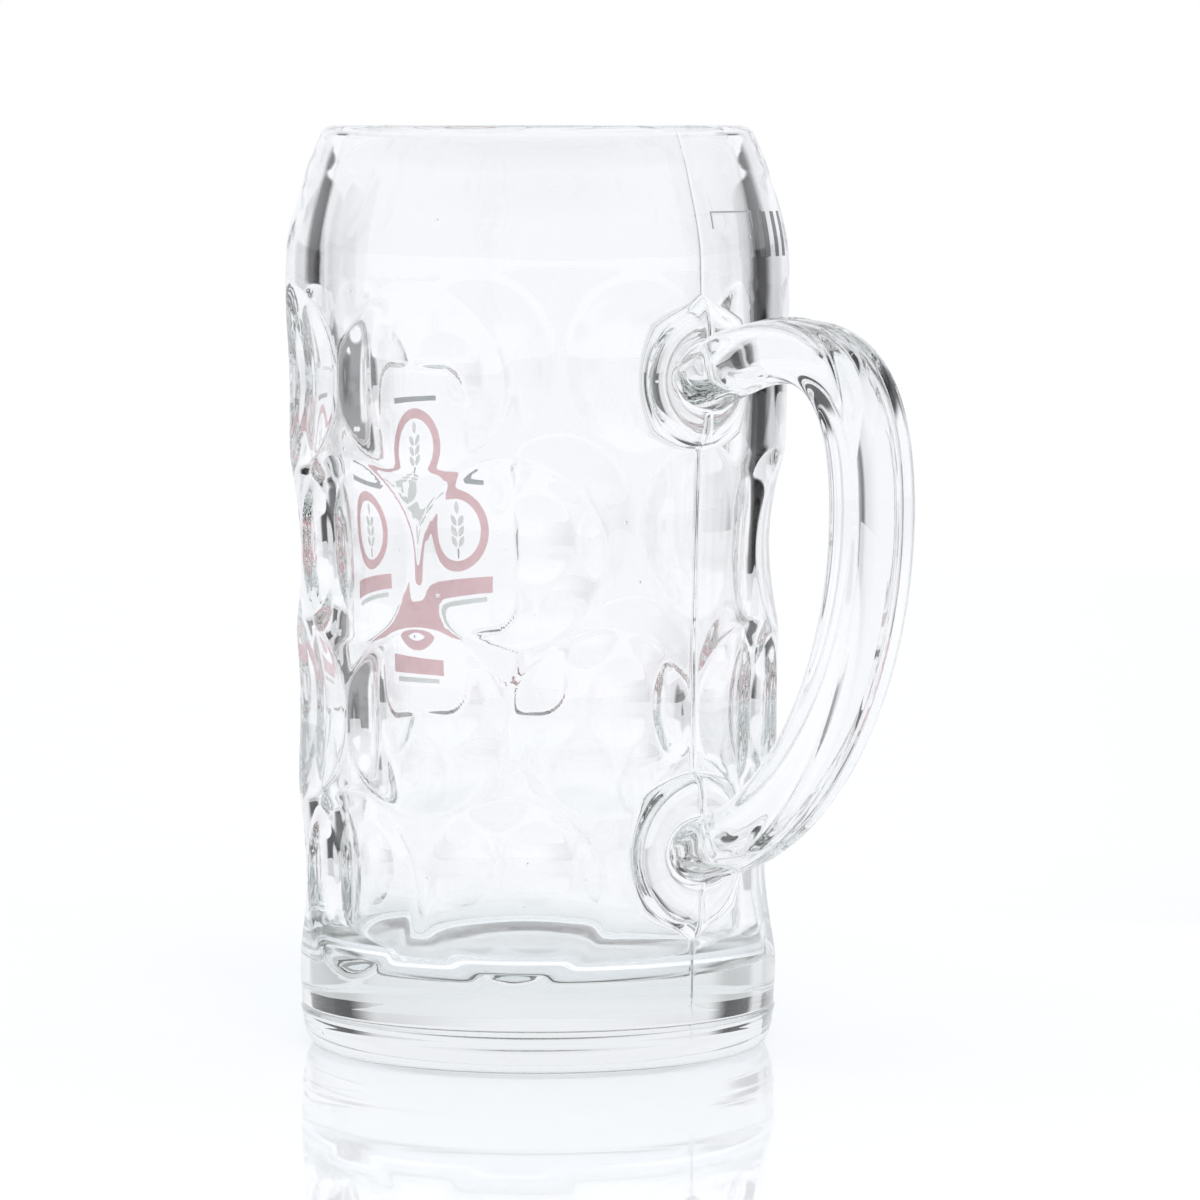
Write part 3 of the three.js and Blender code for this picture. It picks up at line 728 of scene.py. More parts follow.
    def make_handle(self):
        """The roots' flares and the bar between them, as one chain of rings."""
        shape = self.shape
        upper_curve, lower_curve = shape.bow()
        upper_rings, upper_turn = self.root_rings(shape.upper, self.holes[0])
        lower_rings, lower_turn = self.root_rings(shape.lower, self.holes[1])
        start = self.part_at(upper_curve, shape.handle.flare_length)
        stop = 1 - self.part_at(lower_curve[::-1], shape.handle.flare_length)
        stations = [(upper_curve, part) for part in np.linspace(start, 1, GRIP_RINGS + 1)]
        stations += [(lower_curve, part) for part in np.linspace(0, stop, GRIP_RINGS + 1)[1:]]
        bars = []
        for number, (curve, part) in enumerate(stations):
            along = number / (len(stations) - 1)
            turn = upper_turn + (lower_turn - upper_turn) * along
            turn = np.where(np.abs(lower_turn - upper_turn) > math.pi, upper_turn, turn)
            bars.append(self.bar_ring(*cubic(curve, part), turn))
        chain = list(upper_rings)
        for points in self.flare_rings(shape.upper, upper_turn, bars[0]):
            chain.append(self.add(points))
        for points in bars:
            chain.append(self.add(points, 0.0, 1.0))
        for points in reversed(self.flare_rings(shape.lower, lower_turn, bars[-1])):
            chain.append(self.add(points))
        chain += reversed(lower_rings)
        for here, after in zip(chain, chain[1:]):
            self.join(after, here)

    def part_at(self, curve, wanted):
        """The curve's parameter at a length from its start."""
        parts = np.linspace(0, 1, CURVE_SAMPLES)
        places = np.array([cubic(curve, part)[0] for part in parts])
        lengths = np.concatenate([[0], np.cumsum(np.linalg.norm(np.diff(places, axis=0), axis=1))])
        return float(np.interp(wanted, lengths, parts))

    def drop_unused(self):
        """Leaves out the grid points inside the roots' holes."""
        used = np.zeros(self.size, dtype=bool)
        for face in self.faces:
            used[list(face)] = True
        number = np.cumsum(used) - 1
        self.points = np.concatenate(self.points)[used]
        self.press = np.concatenate(self.press)[used]
        self.wave = np.concatenate(self.wave)[used]
        self.faces = [tuple(int(number[corner]) for corner in face) for face in self.faces]


def add_object(name, points, faces):
    """A new object in the scene from points and faces, shaded smooth."""
    mesh = bpy.data.meshes.new(name)
    mesh.from_pydata([tuple(point) for point in points], [], [tuple(face) for face in faces])
    mesh.polygons.foreach_set("use_smooth", [True] * len(mesh.polygons))
    mesh.update()
    piece = bpy.data.objects.new(name, mesh)
    bpy.context.scene.collection.objects.link(piece)
    return piece


def grid_faces(rows, columns):
    """Quads over a grid of points that are numbered row by row."""
    wide = columns + 1
    faces = []
    for row in range(rows):
        for column in range(columns):
            corner = row * wide + column
            faces.append((corner, corner + 1, corner + wide + 1, corner + wide))
    return faces


def set_point_value(mesh, name, values):
    """Stores one number for each point of a mesh."""
    layer = mesh.attributes.new(name, "FLOAT", "POINT")
    layer.data.foreach_set("value", np.asarray(values, dtype=np.float32))


class NodeSketch:
    """Short ways to add nodes to a tree and link them."""

    def __init__(self, tree):
        self.tree = tree

    def put(self, socket, value):
        """Links a socket, or sets a plain value."""
        if isinstance(value, bpy.types.NodeSocket):
            self.tree.links.new(value, socket)
        else:
            socket.default_value = value

    def node(self, kind, inputs=(), **settings):
        """A node with settings, and inputs by name or number."""
        node = self.tree.nodes.new(kind)
        for name, value in settings.items():
            setattr(node, name, value)
        for name, value in dict(inputs).items():
            self.put(node.inputs[name], value)
        return node

    def math(self, operation, *values):
        """The result of a Math node."""
        node = self.node("ShaderNodeMath", dict(enumerate(values)), operation=operation)
        return node.outputs[0]

    def chain(self, operation, first, *others):
        """The result of one Math node after another, from left to right."""
        for value in others:
            first = self.math(operation, first, value)
        return first

    def plus(self, *values):
        """The sum of the values."""
        return self.chain("ADD", *values)

    def times(self, *values):
        """The product of the values."""
        return self.chain("MULTIPLY", *values)

    def vector(self, operation, *values):
        """The result of a Vector Math node."""
        node = self.node("ShaderNodeVectorMath", dict(enumerate(values)), operation=operation)
        return node.outputs["Vector"]

    def scaled(self, vector, factor):
        """A vector times a number."""
        node = self.node("ShaderNodeVectorMath", {0: vector, "Scale": factor}, operation="SCALE")
        return node.outputs["Vector"]

    def noise(self, place, scale, detail, roughness):
        """The value of a noise texture at a place."""
        node = self.node("ShaderNodeTexNoise", {
            "Vector": place, "Scale": scale, "Detail": detail, "Roughness": roughness})
        return node.outputs[0]

    def ramp(self, value, start, stop, low=0.0, high=1.0, **settings):
        """A value that goes from low to high while another one goes from start to stop."""
        node = self.node("ShaderNodeMapRange", {
            "Value": value, "From Min": start, "From Max": stop,
            "To Min": low, "To Max": high}, **settings)
        return node.outputs[0]

    def point_value(self, name):
        """The number that a mesh holds for each point."""
        node = self.node("GeometryNodeInputNamedAttribute", {"Name": name}, data_type="FLOAT")
        return node.outputs["Attribute"]

    def end(self, geometry, material):
        """Ends a Geometry Nodes tree: instances made real, and in a material."""
        real = self.node("GeometryNodeRealizeInstances", {0: geometry})
        dressed = self.node("GeometryNodeSetMaterial", {
            "Geometry": real.outputs[0], "Material": material})
        self.node("NodeGroupOutput", {0: dressed.outputs[0]})


def add_tree_inputs(tree, *names):
    """Gives a Geometry Nodes tree its geometry sockets and its named numbers."""
    for way in ("INPUT", "OUTPUT"):
        tree.interface.new_socket(name="Geometry", in_out=way, socket_type="NodeSocketGeometry")
    for name in names:
        tree.interface.new_socket(name=name, in_out="INPUT", socket_type="NodeSocketFloat")


def run_tree(piece, tree, values):
    """Runs a tree on a piece with its inputs set, and keeps the result as a plain mesh."""
    modifier = piece.modifiers.new(tree.name, "NODES")
    modifier.node_group = tree
    for item in tree.interface.items_tree:
        if item.item_type == "SOCKET" and item.in_out == "INPUT" and item.name in values:
            modifier[item.identifier] = values[item.name]
    piece.update_tag()
    shown = piece.evaluated_get(bpy.context.evaluated_depsgraph_get())
    mesh = bpy.data.meshes.new_from_object(shown)
    piece.modifiers.remove(modifier)
    blank = piece.data
    piece.data = mesh
    bpy.data.meshes.remove(blank)
    mesh.name = piece.name


def dimple_tree(rows, material):
    """Geometry Nodes that press staggered rows of round dimples into a standing skin of glass."""
    tree = bpy.data.node_groups.new("press_dimples", "GeometryNodeTree")
    add_tree_inputs(
        tree, "Dimple Radius", "Dimple Depth", "Edge Softness", "Top Row Height", "Row Pitch",
        "Dimples Per Row", "Body Radius", "Wave Height", "Wave Scale")
    sketch = NodeSketch(tree)
    given = sketch.node("NodeGroupInput").outputs
    place = sketch.node("GeometryNodeInputPosition").outputs[0]
    split = sketch.node("ShaderNodeSeparateXYZ", {0: place})
    around = sketch.math("ARCTAN2", split.outputs["Y"], split.outputs["X"])
    pitch = sketch.math("DIVIDE", TURN, given["Dimples Per Row"])
    deepest = None
    for row in range(rows):
        drop = sketch.times(given["Row Pitch"], float(row))
        centre = sketch.math("SUBTRACT", given["Top Row Height"], drop)
        tall = sketch.math("SUBTRACT", split.outputs["Z"], centre)
        shift = 0.5 if row % 2 == 0 else 0.0
        steps = sketch.math("SUBTRACT", sketch.math("DIVIDE", around, pitch), shift)
        off = sketch.math("SUBTRACT", steps, sketch.math("ROUND", steps))
        arc = sketch.times(off, pitch, given["Body Radius"])
        square = sketch.plus(sketch.times(arc, arc), sketch.times(tall, tall))
        reach = sketch.times(given["Dimple Radius"], given["Dimple Radius"])
        bowl = sketch.math("SUBTRACT", 1.0, sketch.math("DIVIDE", square, reach))
        soft = sketch.times(given["Edge Softness"], given["Edge Softness"])
        root = sketch.math("SQRT", sketch.plus(sketch.times(bowl, bowl), soft))
        bowl = sketch.times(sketch.plus(bowl, root), 0.5)
        deepest = bowl if deepest is None else sketch.math("MAXIMUM", deepest, bowl)
    depth = sketch.times(deepest, given["Dimple Depth"], sketch.point_value("press"))
    level = sketch.node("ShaderNodeCombineXYZ", {"X": split.outputs["X"], "Y": split.outputs["Y"]})
    inward = sketch.scaled(sketch.vector("NORMALIZE", level.outputs[0]), -1.0)
    noise = sketch.noise(place, given["Wave Scale"], detail=1.0, roughness=0.4)
    height = sketch.times(given["Wave Height"], 2.0)
    swing = sketch.times(sketch.math("SUBTRACT", noise, 0.5), height, sketch.point_value("wave"))
    normal = sketch.node("GeometryNodeInputNormal").outputs[0]
    offset = sketch.vector("ADD", sketch.scaled(inward, depth), sketch.scaled(normal, swing))
    moved = sketch.node("GeometryNodeSetPosition", {
        "Geometry": given["Geometry"], "Offset": offset})
    sketch.end(moved.outputs[0], material)
    return tree


def new_material(name):
    """An empty node material and a sketch of its tree."""
    material = bpy.data.materials.new(name)
    material.use_nodes = True
    material.node_tree.nodes.clear()
    return material, NodeSketch(material.node_tree)


def glass_material(body):
    """Clear soda-lime glass: faint tint, a fire-polished skin and a base scuffed by tables."""
    material, sketch = new_material("clear_glass")
    place = sketch.node("ShaderNodeTexCoord").outputs["Object"]
    height = sketch.node("ShaderNodeSeparateXYZ", {0: place}).outputs["Z"]
    peel = sketch.noise(place, scale=95.0, detail=2.0, roughness=0.45)
    fine = sketch.noise(place, scale=420.0, detail=2.0, roughness=0.5)
    scratch = sketch.noise(place, scale=2600.0, detail=3.0, roughness=0.6)
    worn = sketch.ramp(height, *SCUFF_HEIGHTS)
    rough = sketch.times(worn, scratch, SCUFF_ROUGHNESS)
    seeds = sketch.node("ShaderNodeTexVoronoi", {"Vector": place, "Scale": 110.0}).outputs
    dot = sketch.ramp(seeds["Distance"], *SEED_EDGE, low=1.0, high=0.0)
    pit = sketch.times(dot, sketch.math("GREATER_THAN", seeds["Color"], SEED_LIMIT))
    tall = sketch.plus(sketch.times(peel, PEEL_SHARE), sketch.times(fine, 1 - PEEL_SHARE))
    skin = sketch.node("ShaderNodeBump", {
        "Strength": 0.08, "Distance": 0.1 * MM, "Height": tall})
    bump = sketch.node("ShaderNodeBump", {
        "Strength": 0.8, "Distance": 0.25 * MM, "Height": pit, "Normal": skin.outputs[0]})
    shader = sketch.node("ShaderNodeBsdfPrincipled", {
        "Base Color": WHITE, "Roughness": rough, "IOR": GLASS_IOR,
        "Transmission Weight": 1.0, "Normal": bump.outputs[0]})
    through = sketch.node("ShaderNodeBsdfTransparent", {"Color": SHADOW_TINT})
    path = sketch.node("ShaderNodeLightPath")
    surface = sketch.node("ShaderNodeMixShader", {
        0: path.outputs["Is Shadow Ray"], 1: shader.outputs[0], 2: through.outputs[0]})
    inside = sketch.node("ShaderNodeVolumeAbsorption", {
        "Color": (*body.tint, 1.0), "Density": body.tint_density})
    sketch.node("ShaderNodeOutputMaterial", {
        "Surface": surface.outputs[0], "Volume": inside.outputs[0]})
    return material


def enamel_material(name, tone, shift):
    """Fired enamel: a screened colour with pinholes, uneven ink and a satin gloss."""
    material, sketch = new_material(name)
    place = sketch.node("ShaderNodeTexCoord").outputs["Object"]
    moved = sketch.node("ShaderNodeMapping", {"Vector": place, "Location": (shift, 0.0, 0.0)})
    cloud = sketch.noise(moved.outputs[0], scale=160.0, detail=4.0, roughness=0.55)
    pores = sketch.node("ShaderNodeTexVoronoi", {"Vector": moved.outputs[0], "Scale": 1400.0})
    pore = sketch.ramp(pores.outputs["Distance"], *PORE_EDGE)
    pale = tuple(min(1.0, part * PALE_GAIN + PALE_LIFT) for part in tone)
    deep = tuple(part * DEEP_GAIN for part in tone)
    ink = sketch.node("ShaderNodeMix", {
        "Factor": cloud, 6: (*deep, 1.0), 7: (*pale, 1.0)}, data_type="RGBA")
    rough = sketch.ramp(cloud, *CLOUD_SPAN, *ENAMEL_ROUGHNESS)
    bump = sketch.node("ShaderNodeBump", {
        "Strength": 0.3, "Distance": 0.02 * MM, "Height": pore})
    shader = sketch.node("ShaderNodeBsdfPrincipled", {
        "Base Color": ink.outputs[2], "Roughness": rough, "IOR": ENAMEL_IOR,
        "Normal": bump.outputs[0]})
    sketch.node("ShaderNodeOutputMaterial", {"Surface": shader.outputs[0]})
    return material


def enamel_pair(name, tone, painted_backlight):
    """The outer finish of a layer and its glass side, a paler copy of the ink: its own colour plus
    painted backlight standing in for light through the thin enamel.
    """
    shift = ENAMEL_SHIFTS[name]
    return enamel_material(name, tone, shift), enamel_material(name + "_ground", painted_backlight, shift)


class Layer:
    """A thin closed layer of enamel, gathered flat as arc and height and then laid on the wall."""

    def __init__(self, shape, facing):
        self.shape = shape
        self.facing = facing
        self.points = []
        self.faces = []

    def add(self, points, faces):
        """Adds a flat patch of (arc, height) points and faces that turn left."""
        first = len(self.points)
        self.points += [tuple(point) for point in points]
        self.faces += [tuple(corner + first for corner in face) for face in faces]

    def bar(self, left, right, low, high):
        """A flat bar, cut fine enough to follow the wall."""
        columns = max(2, math.ceil((right - left) / LAYER_STEP))
        rows = max(1, math.ceil((high - low) / LAYER_STEP))
        arcs = np.linspace(left, right, columns + 1)
        heights = np.linspace(low, high, rows + 1)
        points = [(arc, height) for height in heights for arc in arcs]
        self.add(points, grid_faces(rows, columns))

    def round_band(self, centre, inner, outer):
        """A flat ring around a point on the facing line."""
        points = []
        for radius in np.linspace(inner, outer, RING_STEPS + 1):
            for number in range(RING_SEGMENTS):
                turn = TURN * number / RING_SEGMENTS
                points.append((radius * math.cos(turn), centre + radius * math.sin(turn)))
        faces = []
        for step in range(RING_STEPS):
            for number in range(RING_SEGMENTS):
                after = (number + 1) % RING_SEGMENTS
                low, high = step * RING_SEGMENTS, (step + 1) * RING_SEGMENTS
                faces.append((low + number, high + number, high + after, low + after))
        self.add(points, faces)

    def laid(self, name, materials):
        """The layer as an object on the wall, closed, with its outer and its glass-side finish."""
        settings = self.shape.print
        arc, height = np.array(self.points).T
        around = self.facing + arc / self.shape.ridge_radius(height)
        skins = []
        for lift in (-settings.under, settings.over):
            radius = self.shape.ridge_radius(height) + lift
            skins.append(np.stack([radius * np.cos(around), radius * np.sin(around), height], -1))
        total = len(arc)
        faces = [tuple(corner + total for corner in face) for face in self.faces]
        faces += [tuple(reversed(face)) for face in self.faces]
        edges = {}
        for face in self.faces:
            for here, after in zip(face, face[1:] + face[:1]):
                edges[here, after] = True
        for here, after in edges:
            if (after, here) not in edges:
                faces.append((here, after, after + total, here + total))
        piece = add_object(name, np.concatenate(skins), faces)
        piece.data.polygons.foreach_set("use_smooth", [False] * len(piece.data.polygons))
        for material in materials:
            piece.data.materials.append(material)
        glass_side = range(len(self.faces), 2 * len(self.faces))
        for number in glass_side:
            piece.data.polygons[number].material_index = 1
        return piece


def wall_span(shape, node, facing):
    """A node's left, right, low and high on the wall, as arc from a facing line and height."""
    low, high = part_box(node)
    height = (low.z + high.z) / 2
    radius = float(shape.ridge_radius(height))
    sign = 1 if facing == 0 else -1
    arcs = sorted(sign * radius * math.asin(side / radius) for side in (low.y, high.y))
    return arcs[0], arcs[1], low.z, high.z


def dress(piece, slot, *nodes):
    """Gives a finished piece its body and hides the solids that it stands for."""
    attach(piece, "root")
    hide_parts(*nodes)


class MUG_OT_glass(bpy.types.Operator):
    """Blow the body, stick on the handle and press the dimples"""

    bl_idname = "mug.glass"
    bl_label = "Glass Body and Handle"

    def execute(self, context):
        scene = context.scene
        shape = MugShape(scene)
        skin = GlassSkin(shape)
        material = glass_material(scene.mug_body)
        piece = add_object("glass", skin.points, skin.faces)
        set_point_value(piece.data, "press", skin.press)
        set_point_value(piece.data, "wave", skin.wave)
        dimples = scene.mug_dimples
        run_tree(piece, dimple_tree(dimples.rows, material), {
            "Dimple Radius": dimples.radius,
            "Dimple Depth": dimples.depth,
            "Edge Softness": dimples.softness,
            "Top Row Height": scene.mug_body.height - dimples.top_row_drop,
            "Row Pitch": dimples.row_pitch,
            "Dimples Per Row": float(dimples.per_row),
            "Body Radius": scene.mug_body.waist_radius,
            "Wave Height": dimples.wave_height,
            "Wave Scale": dimples.wave_scale,
        })
        for name in ("press", "wave"):
            piece.data.attributes.remove(piece.data.attributes[name])
        dress(piece, "clear_glass", "body", "handle")
        return {"FINISHED"}


def grain_tree(material):
    """Geometry Nodes that set a pointed grain on every point, turned by the point's tilt."""
    tree = bpy.data.node_groups.new("set_grains", "GeometryNodeTree")
    add_tree_inputs(tree, "Grain Length", "Grain Width")
    sketch = NodeSketch(tree)
    given = sketch.node("NodeGroupInput").outputs
    disc = sketch.node("GeometryNodeMeshCircle", {"Vertices": 28, "Radius": 1.0},
                       fill_type="TRIANGLE_FAN")
    fine = sketch.node("GeometryNodeSubdivideMesh", {"Mesh": disc.outputs[0], "Level": 2})
    place = sketch.node("GeometryNodeInputPosition").outputs[0]
    split = sketch.node("ShaderNodeSeparateXYZ", {0: place})
    square = sketch.times(split.outputs["Y"], split.outputs["Y"])
    slim = sketch.math("SUBTRACT", 1.0, sketch.times(square, GRAIN_SLIMMING))
    half_width = sketch.times(given["Grain Width"], 0.5)
    half_length = sketch.times(given["Grain Length"], 0.5)
    wide = sketch.times(split.outputs["X"], slim, half_width)
    tall = sketch.times(split.outputs["Y"], half_length)
    pointed = sketch.node("ShaderNodeCombineXYZ", {"X": wide, "Y": tall})
    grain = sketch.node("GeometryNodeSetPosition", {
        "Geometry": fine.outputs[0], "Position": pointed.outputs[0]})
    turn = sketch.node("ShaderNodeCombineXYZ", {"Z": sketch.point_value("tilt")})
    copies = sketch.node("GeometryNodeInstanceOnPoints", {
        "Points": given["Geometry"], "Instance": grain.outputs[0], "Rotation": turn.outputs[0]})
    sketch.end(copies.outputs[0], material)
    return tree


class MUG_OT_print(bpy.types.Operator):
    """Lay the enamel print on the plain panel opposite the handle"""

    bl_idname = "mug.print"
    bl_label = "Panel Print"

    def execute(self, context):
        scene = context.scene
        shape = MugShape(scene)
        settings = scene.mug_print
        self.lay_red(shape, enamel_pair("red_enamel", settings.red, settings.red_painted_backlight))
        self.lay_grey(shape, enamel_pair("grey_enamel", settings.grey, settings.grey_painted_backlight))
        self.lay_dark(shape, enamel_pair("dark_enamel", settings.dark, settings.dark_painted_backlight))
        return {"FINISHED"}

    def lay_red(self, shape, materials):
        """The round band and the wide band under it."""
        layer = Layer(shape, math.pi)
        low, high = wall_span(shape, "print_ring", math.pi)[2:]
        outer = (high - low) / 2
        layer.round_band((low + high) / 2, outer - shape.print.ring_band, outer)
        layer.bar(*wall_span(shape, "print_band", math.pi))
        piece = layer.laid("print_red", materials)
        dress(piece, "red_enamel", "print_ring", "print_band")

    def lay_grey(self, shape, materials):
        """The ear of grains and the bar at the foot."""
        settings = shape.print
        nodes = [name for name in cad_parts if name.startswith("print_grain_")]
        places = []
        tilts = []
        for node in nodes:
            left, right, low, high = wall_span(shape, node, math.pi)
            places.append(((left + right) / 2, (low + high) / 2, 0.0))
            lean = 0.0 if node.endswith("tip") else settings.grain_tilt
            tilts.append(-math.copysign(lean, left + right))
        seeds = add_object("grain_seeds", places, [])
        set_point_value(seeds.data, "tilt", tilts)
        run_tree(seeds, grain_tree(materials[0]), {
            "Grain Length": settings.grain_length, "Grain Width": settings.grain_width})
        layer = Layer(shape, math.pi)
        flat = seeds.data
        layer.add([vertex.co[:2] for vertex in flat.vertices],
                  [tuple(face.vertices) for face in flat.polygons])
        bpy.data.objects.remove(seeds)
        bpy.data.meshes.remove(flat)
        layer.bar(*wall_span(shape, "print_foot_bar", math.pi))
        piece = layer.laid("print_grey", materials)
        dress(piece, "grey_enamel", "print_foot_bar", *nodes)

    def lay_dark(self, shape, materials):
        """The bar at the top and the ear's stem."""
        layer = Layer(shape, math.pi)
        layer.bar(*wall_span(shape, "print_top_bar", math.pi))
        layer.bar(*wall_span(shape, "print_stem", math.pi))
        piece = layer.laid("print_dark", materials)
        dress(piece, "dark_enamel", "print_top_bar", "print_stem")


class MUG_OT_marks(bpy.types.Operator):
    """Lay the fill mark and the volume bars under the lip"""

    bl_idname = "mug.marks"
    bl_label = "Fill Mark and Volume Bars"

    def execute(self, context):
        shape = MugShape(context.scene)
        settings = shape.print
        line = settings.mark_line
        # The marks' glass sides take the dark ink's paler copy, which is painted backlight
        worn = enamel_pair("mark_enamel", settings.mark, settings.dark_painted_backlight)
        dark = enamel_pair("bar_enamel", settings.dark, settings.dark_painted_backlight)
        bracket = Layer(shape, 0.0)
        left, right, low, high = wall_span(shape, "fill_mark", 0)
        bracket.bar(left, right, high - line, high)
        bracket.bar(left, left + line, low, high - line)
        bracket.bar(right - line, right, low, high - line)
        dress(bracket.laid("fill_bracket", worn), "dark_enamel", "fill_mark")
        nodes = sorted(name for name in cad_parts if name.startswith("volume_bar_"))
        bars = Layer(shape, 0.0)
        for node in nodes:
            bars.bar(*wall_span(shape, node, 0))
        dress(bars.laid("volume_bars", dark), "dark_enamel", *nodes)
        return {"FINISHED"}


def floor_material():
    """Pale floor: white to the camera and in the glass, still shaded by the mug, and with a painted
    pool of light under the mug that only shows through the glass.
    """
    material, sketch = new_material("pale_floor")
    place = sketch.node("ShaderNodeTexCoord").outputs["Object"]
    grain = sketch.noise(place, scale=60.0, detail=4.0, roughness=0.5)
    tone = sketch.ramp(grain, 0.0, 1.0, *FLOOR_TONES)
    matte = sketch.node("ShaderNodeBsdfDiffuse", {"Color": tone})
    path = sketch.node("ShaderNodeLightPath").outputs
    away = sketch.node("ShaderNodeVectorMath", {0: place}, operation="LENGTH").outputs["Value"]
    # A painted pool of light on the floor around the mug's foot, shown only through the glass,
    # brightens the base
    under = sketch.ramp(away, *PAINTED_POOL_SPAN, low=1.0, high=0.0)
    painted_pool_in_glass = sketch.times(under, path["Is Transmission Ray"])
    lift = sketch.times(seen_rays(sketch), SEEN_GLOW)
    lift = sketch.math("MULTIPLY_ADD", painted_pool_in_glass, PAINTED_POOL_GLOW, lift)
    lift = sketch.math("MULTIPLY_ADD", path["Is Camera Ray"], CAMERA_GLOW, lift)
    glow = sketch.node("ShaderNodeEmission", {"Color": GLOW_COLOUR, "Strength": lift})
    both = sketch.node("ShaderNodeAddShader", {0: matte.outputs[0], 1: glow.outputs[0]})
    polish = sketch.node("ShaderNodeBsdfGlossy", {"Roughness": FLOOR_ROUGHNESS})
    slant = sketch.node("ShaderNodeFresnel", {"IOR": FLOOR_IOR}).outputs[0]
    mirror = sketch.math("MINIMUM", slant, MOST_MIRROR)
    skin = sketch.node("ShaderNodeMixShader", {0: mirror, 1: both.outputs[0], 2: polish.outputs[0]})
    sketch.node("ShaderNodeOutputMaterial", {"Surface": skin.outputs[0]})
    return material


def seen_rays(sketch):
    """1 for rays that show a thing by itself, in a reflection or through glass, else 0."""
    path = sketch.node("ShaderNodeLightPath").outputs
    seen = sketch.math("MAXIMUM", path["Is Camera Ray"], path["Is Glossy Ray"])
    return sketch.math("MAXIMUM", seen, path["Is Transmission Ray"])


def cloth_material():
    """Black cloth that is as dense as its cover says, and lets the room through elsewhere."""
    material, sketch = new_material("dark_cloth")
    weave = sketch.node("ShaderNodeTexNoise", {"Scale": 30.0, "Detail": 3.0})
    tone = sketch.ramp(weave.outputs[0], 0.0, 1.0, *CLOTH_TONES)
    matte = sketch.node("ShaderNodeBsdfDiffuse", {"Color": tone})
    clear = sketch.node("ShaderNodeBsdfTransparent")
    cover = sketch.node("ShaderNodeAttribute", attribute_name="cover")
    mixed = sketch.node("ShaderNodeMixShader", {
        0: cover.outputs["Fac"], 1: clear.outputs[0], 2: matte.outputs[0]})
    sketch.node("ShaderNodeOutputMaterial", {"Surface": mixed.outputs[0]})
    return material


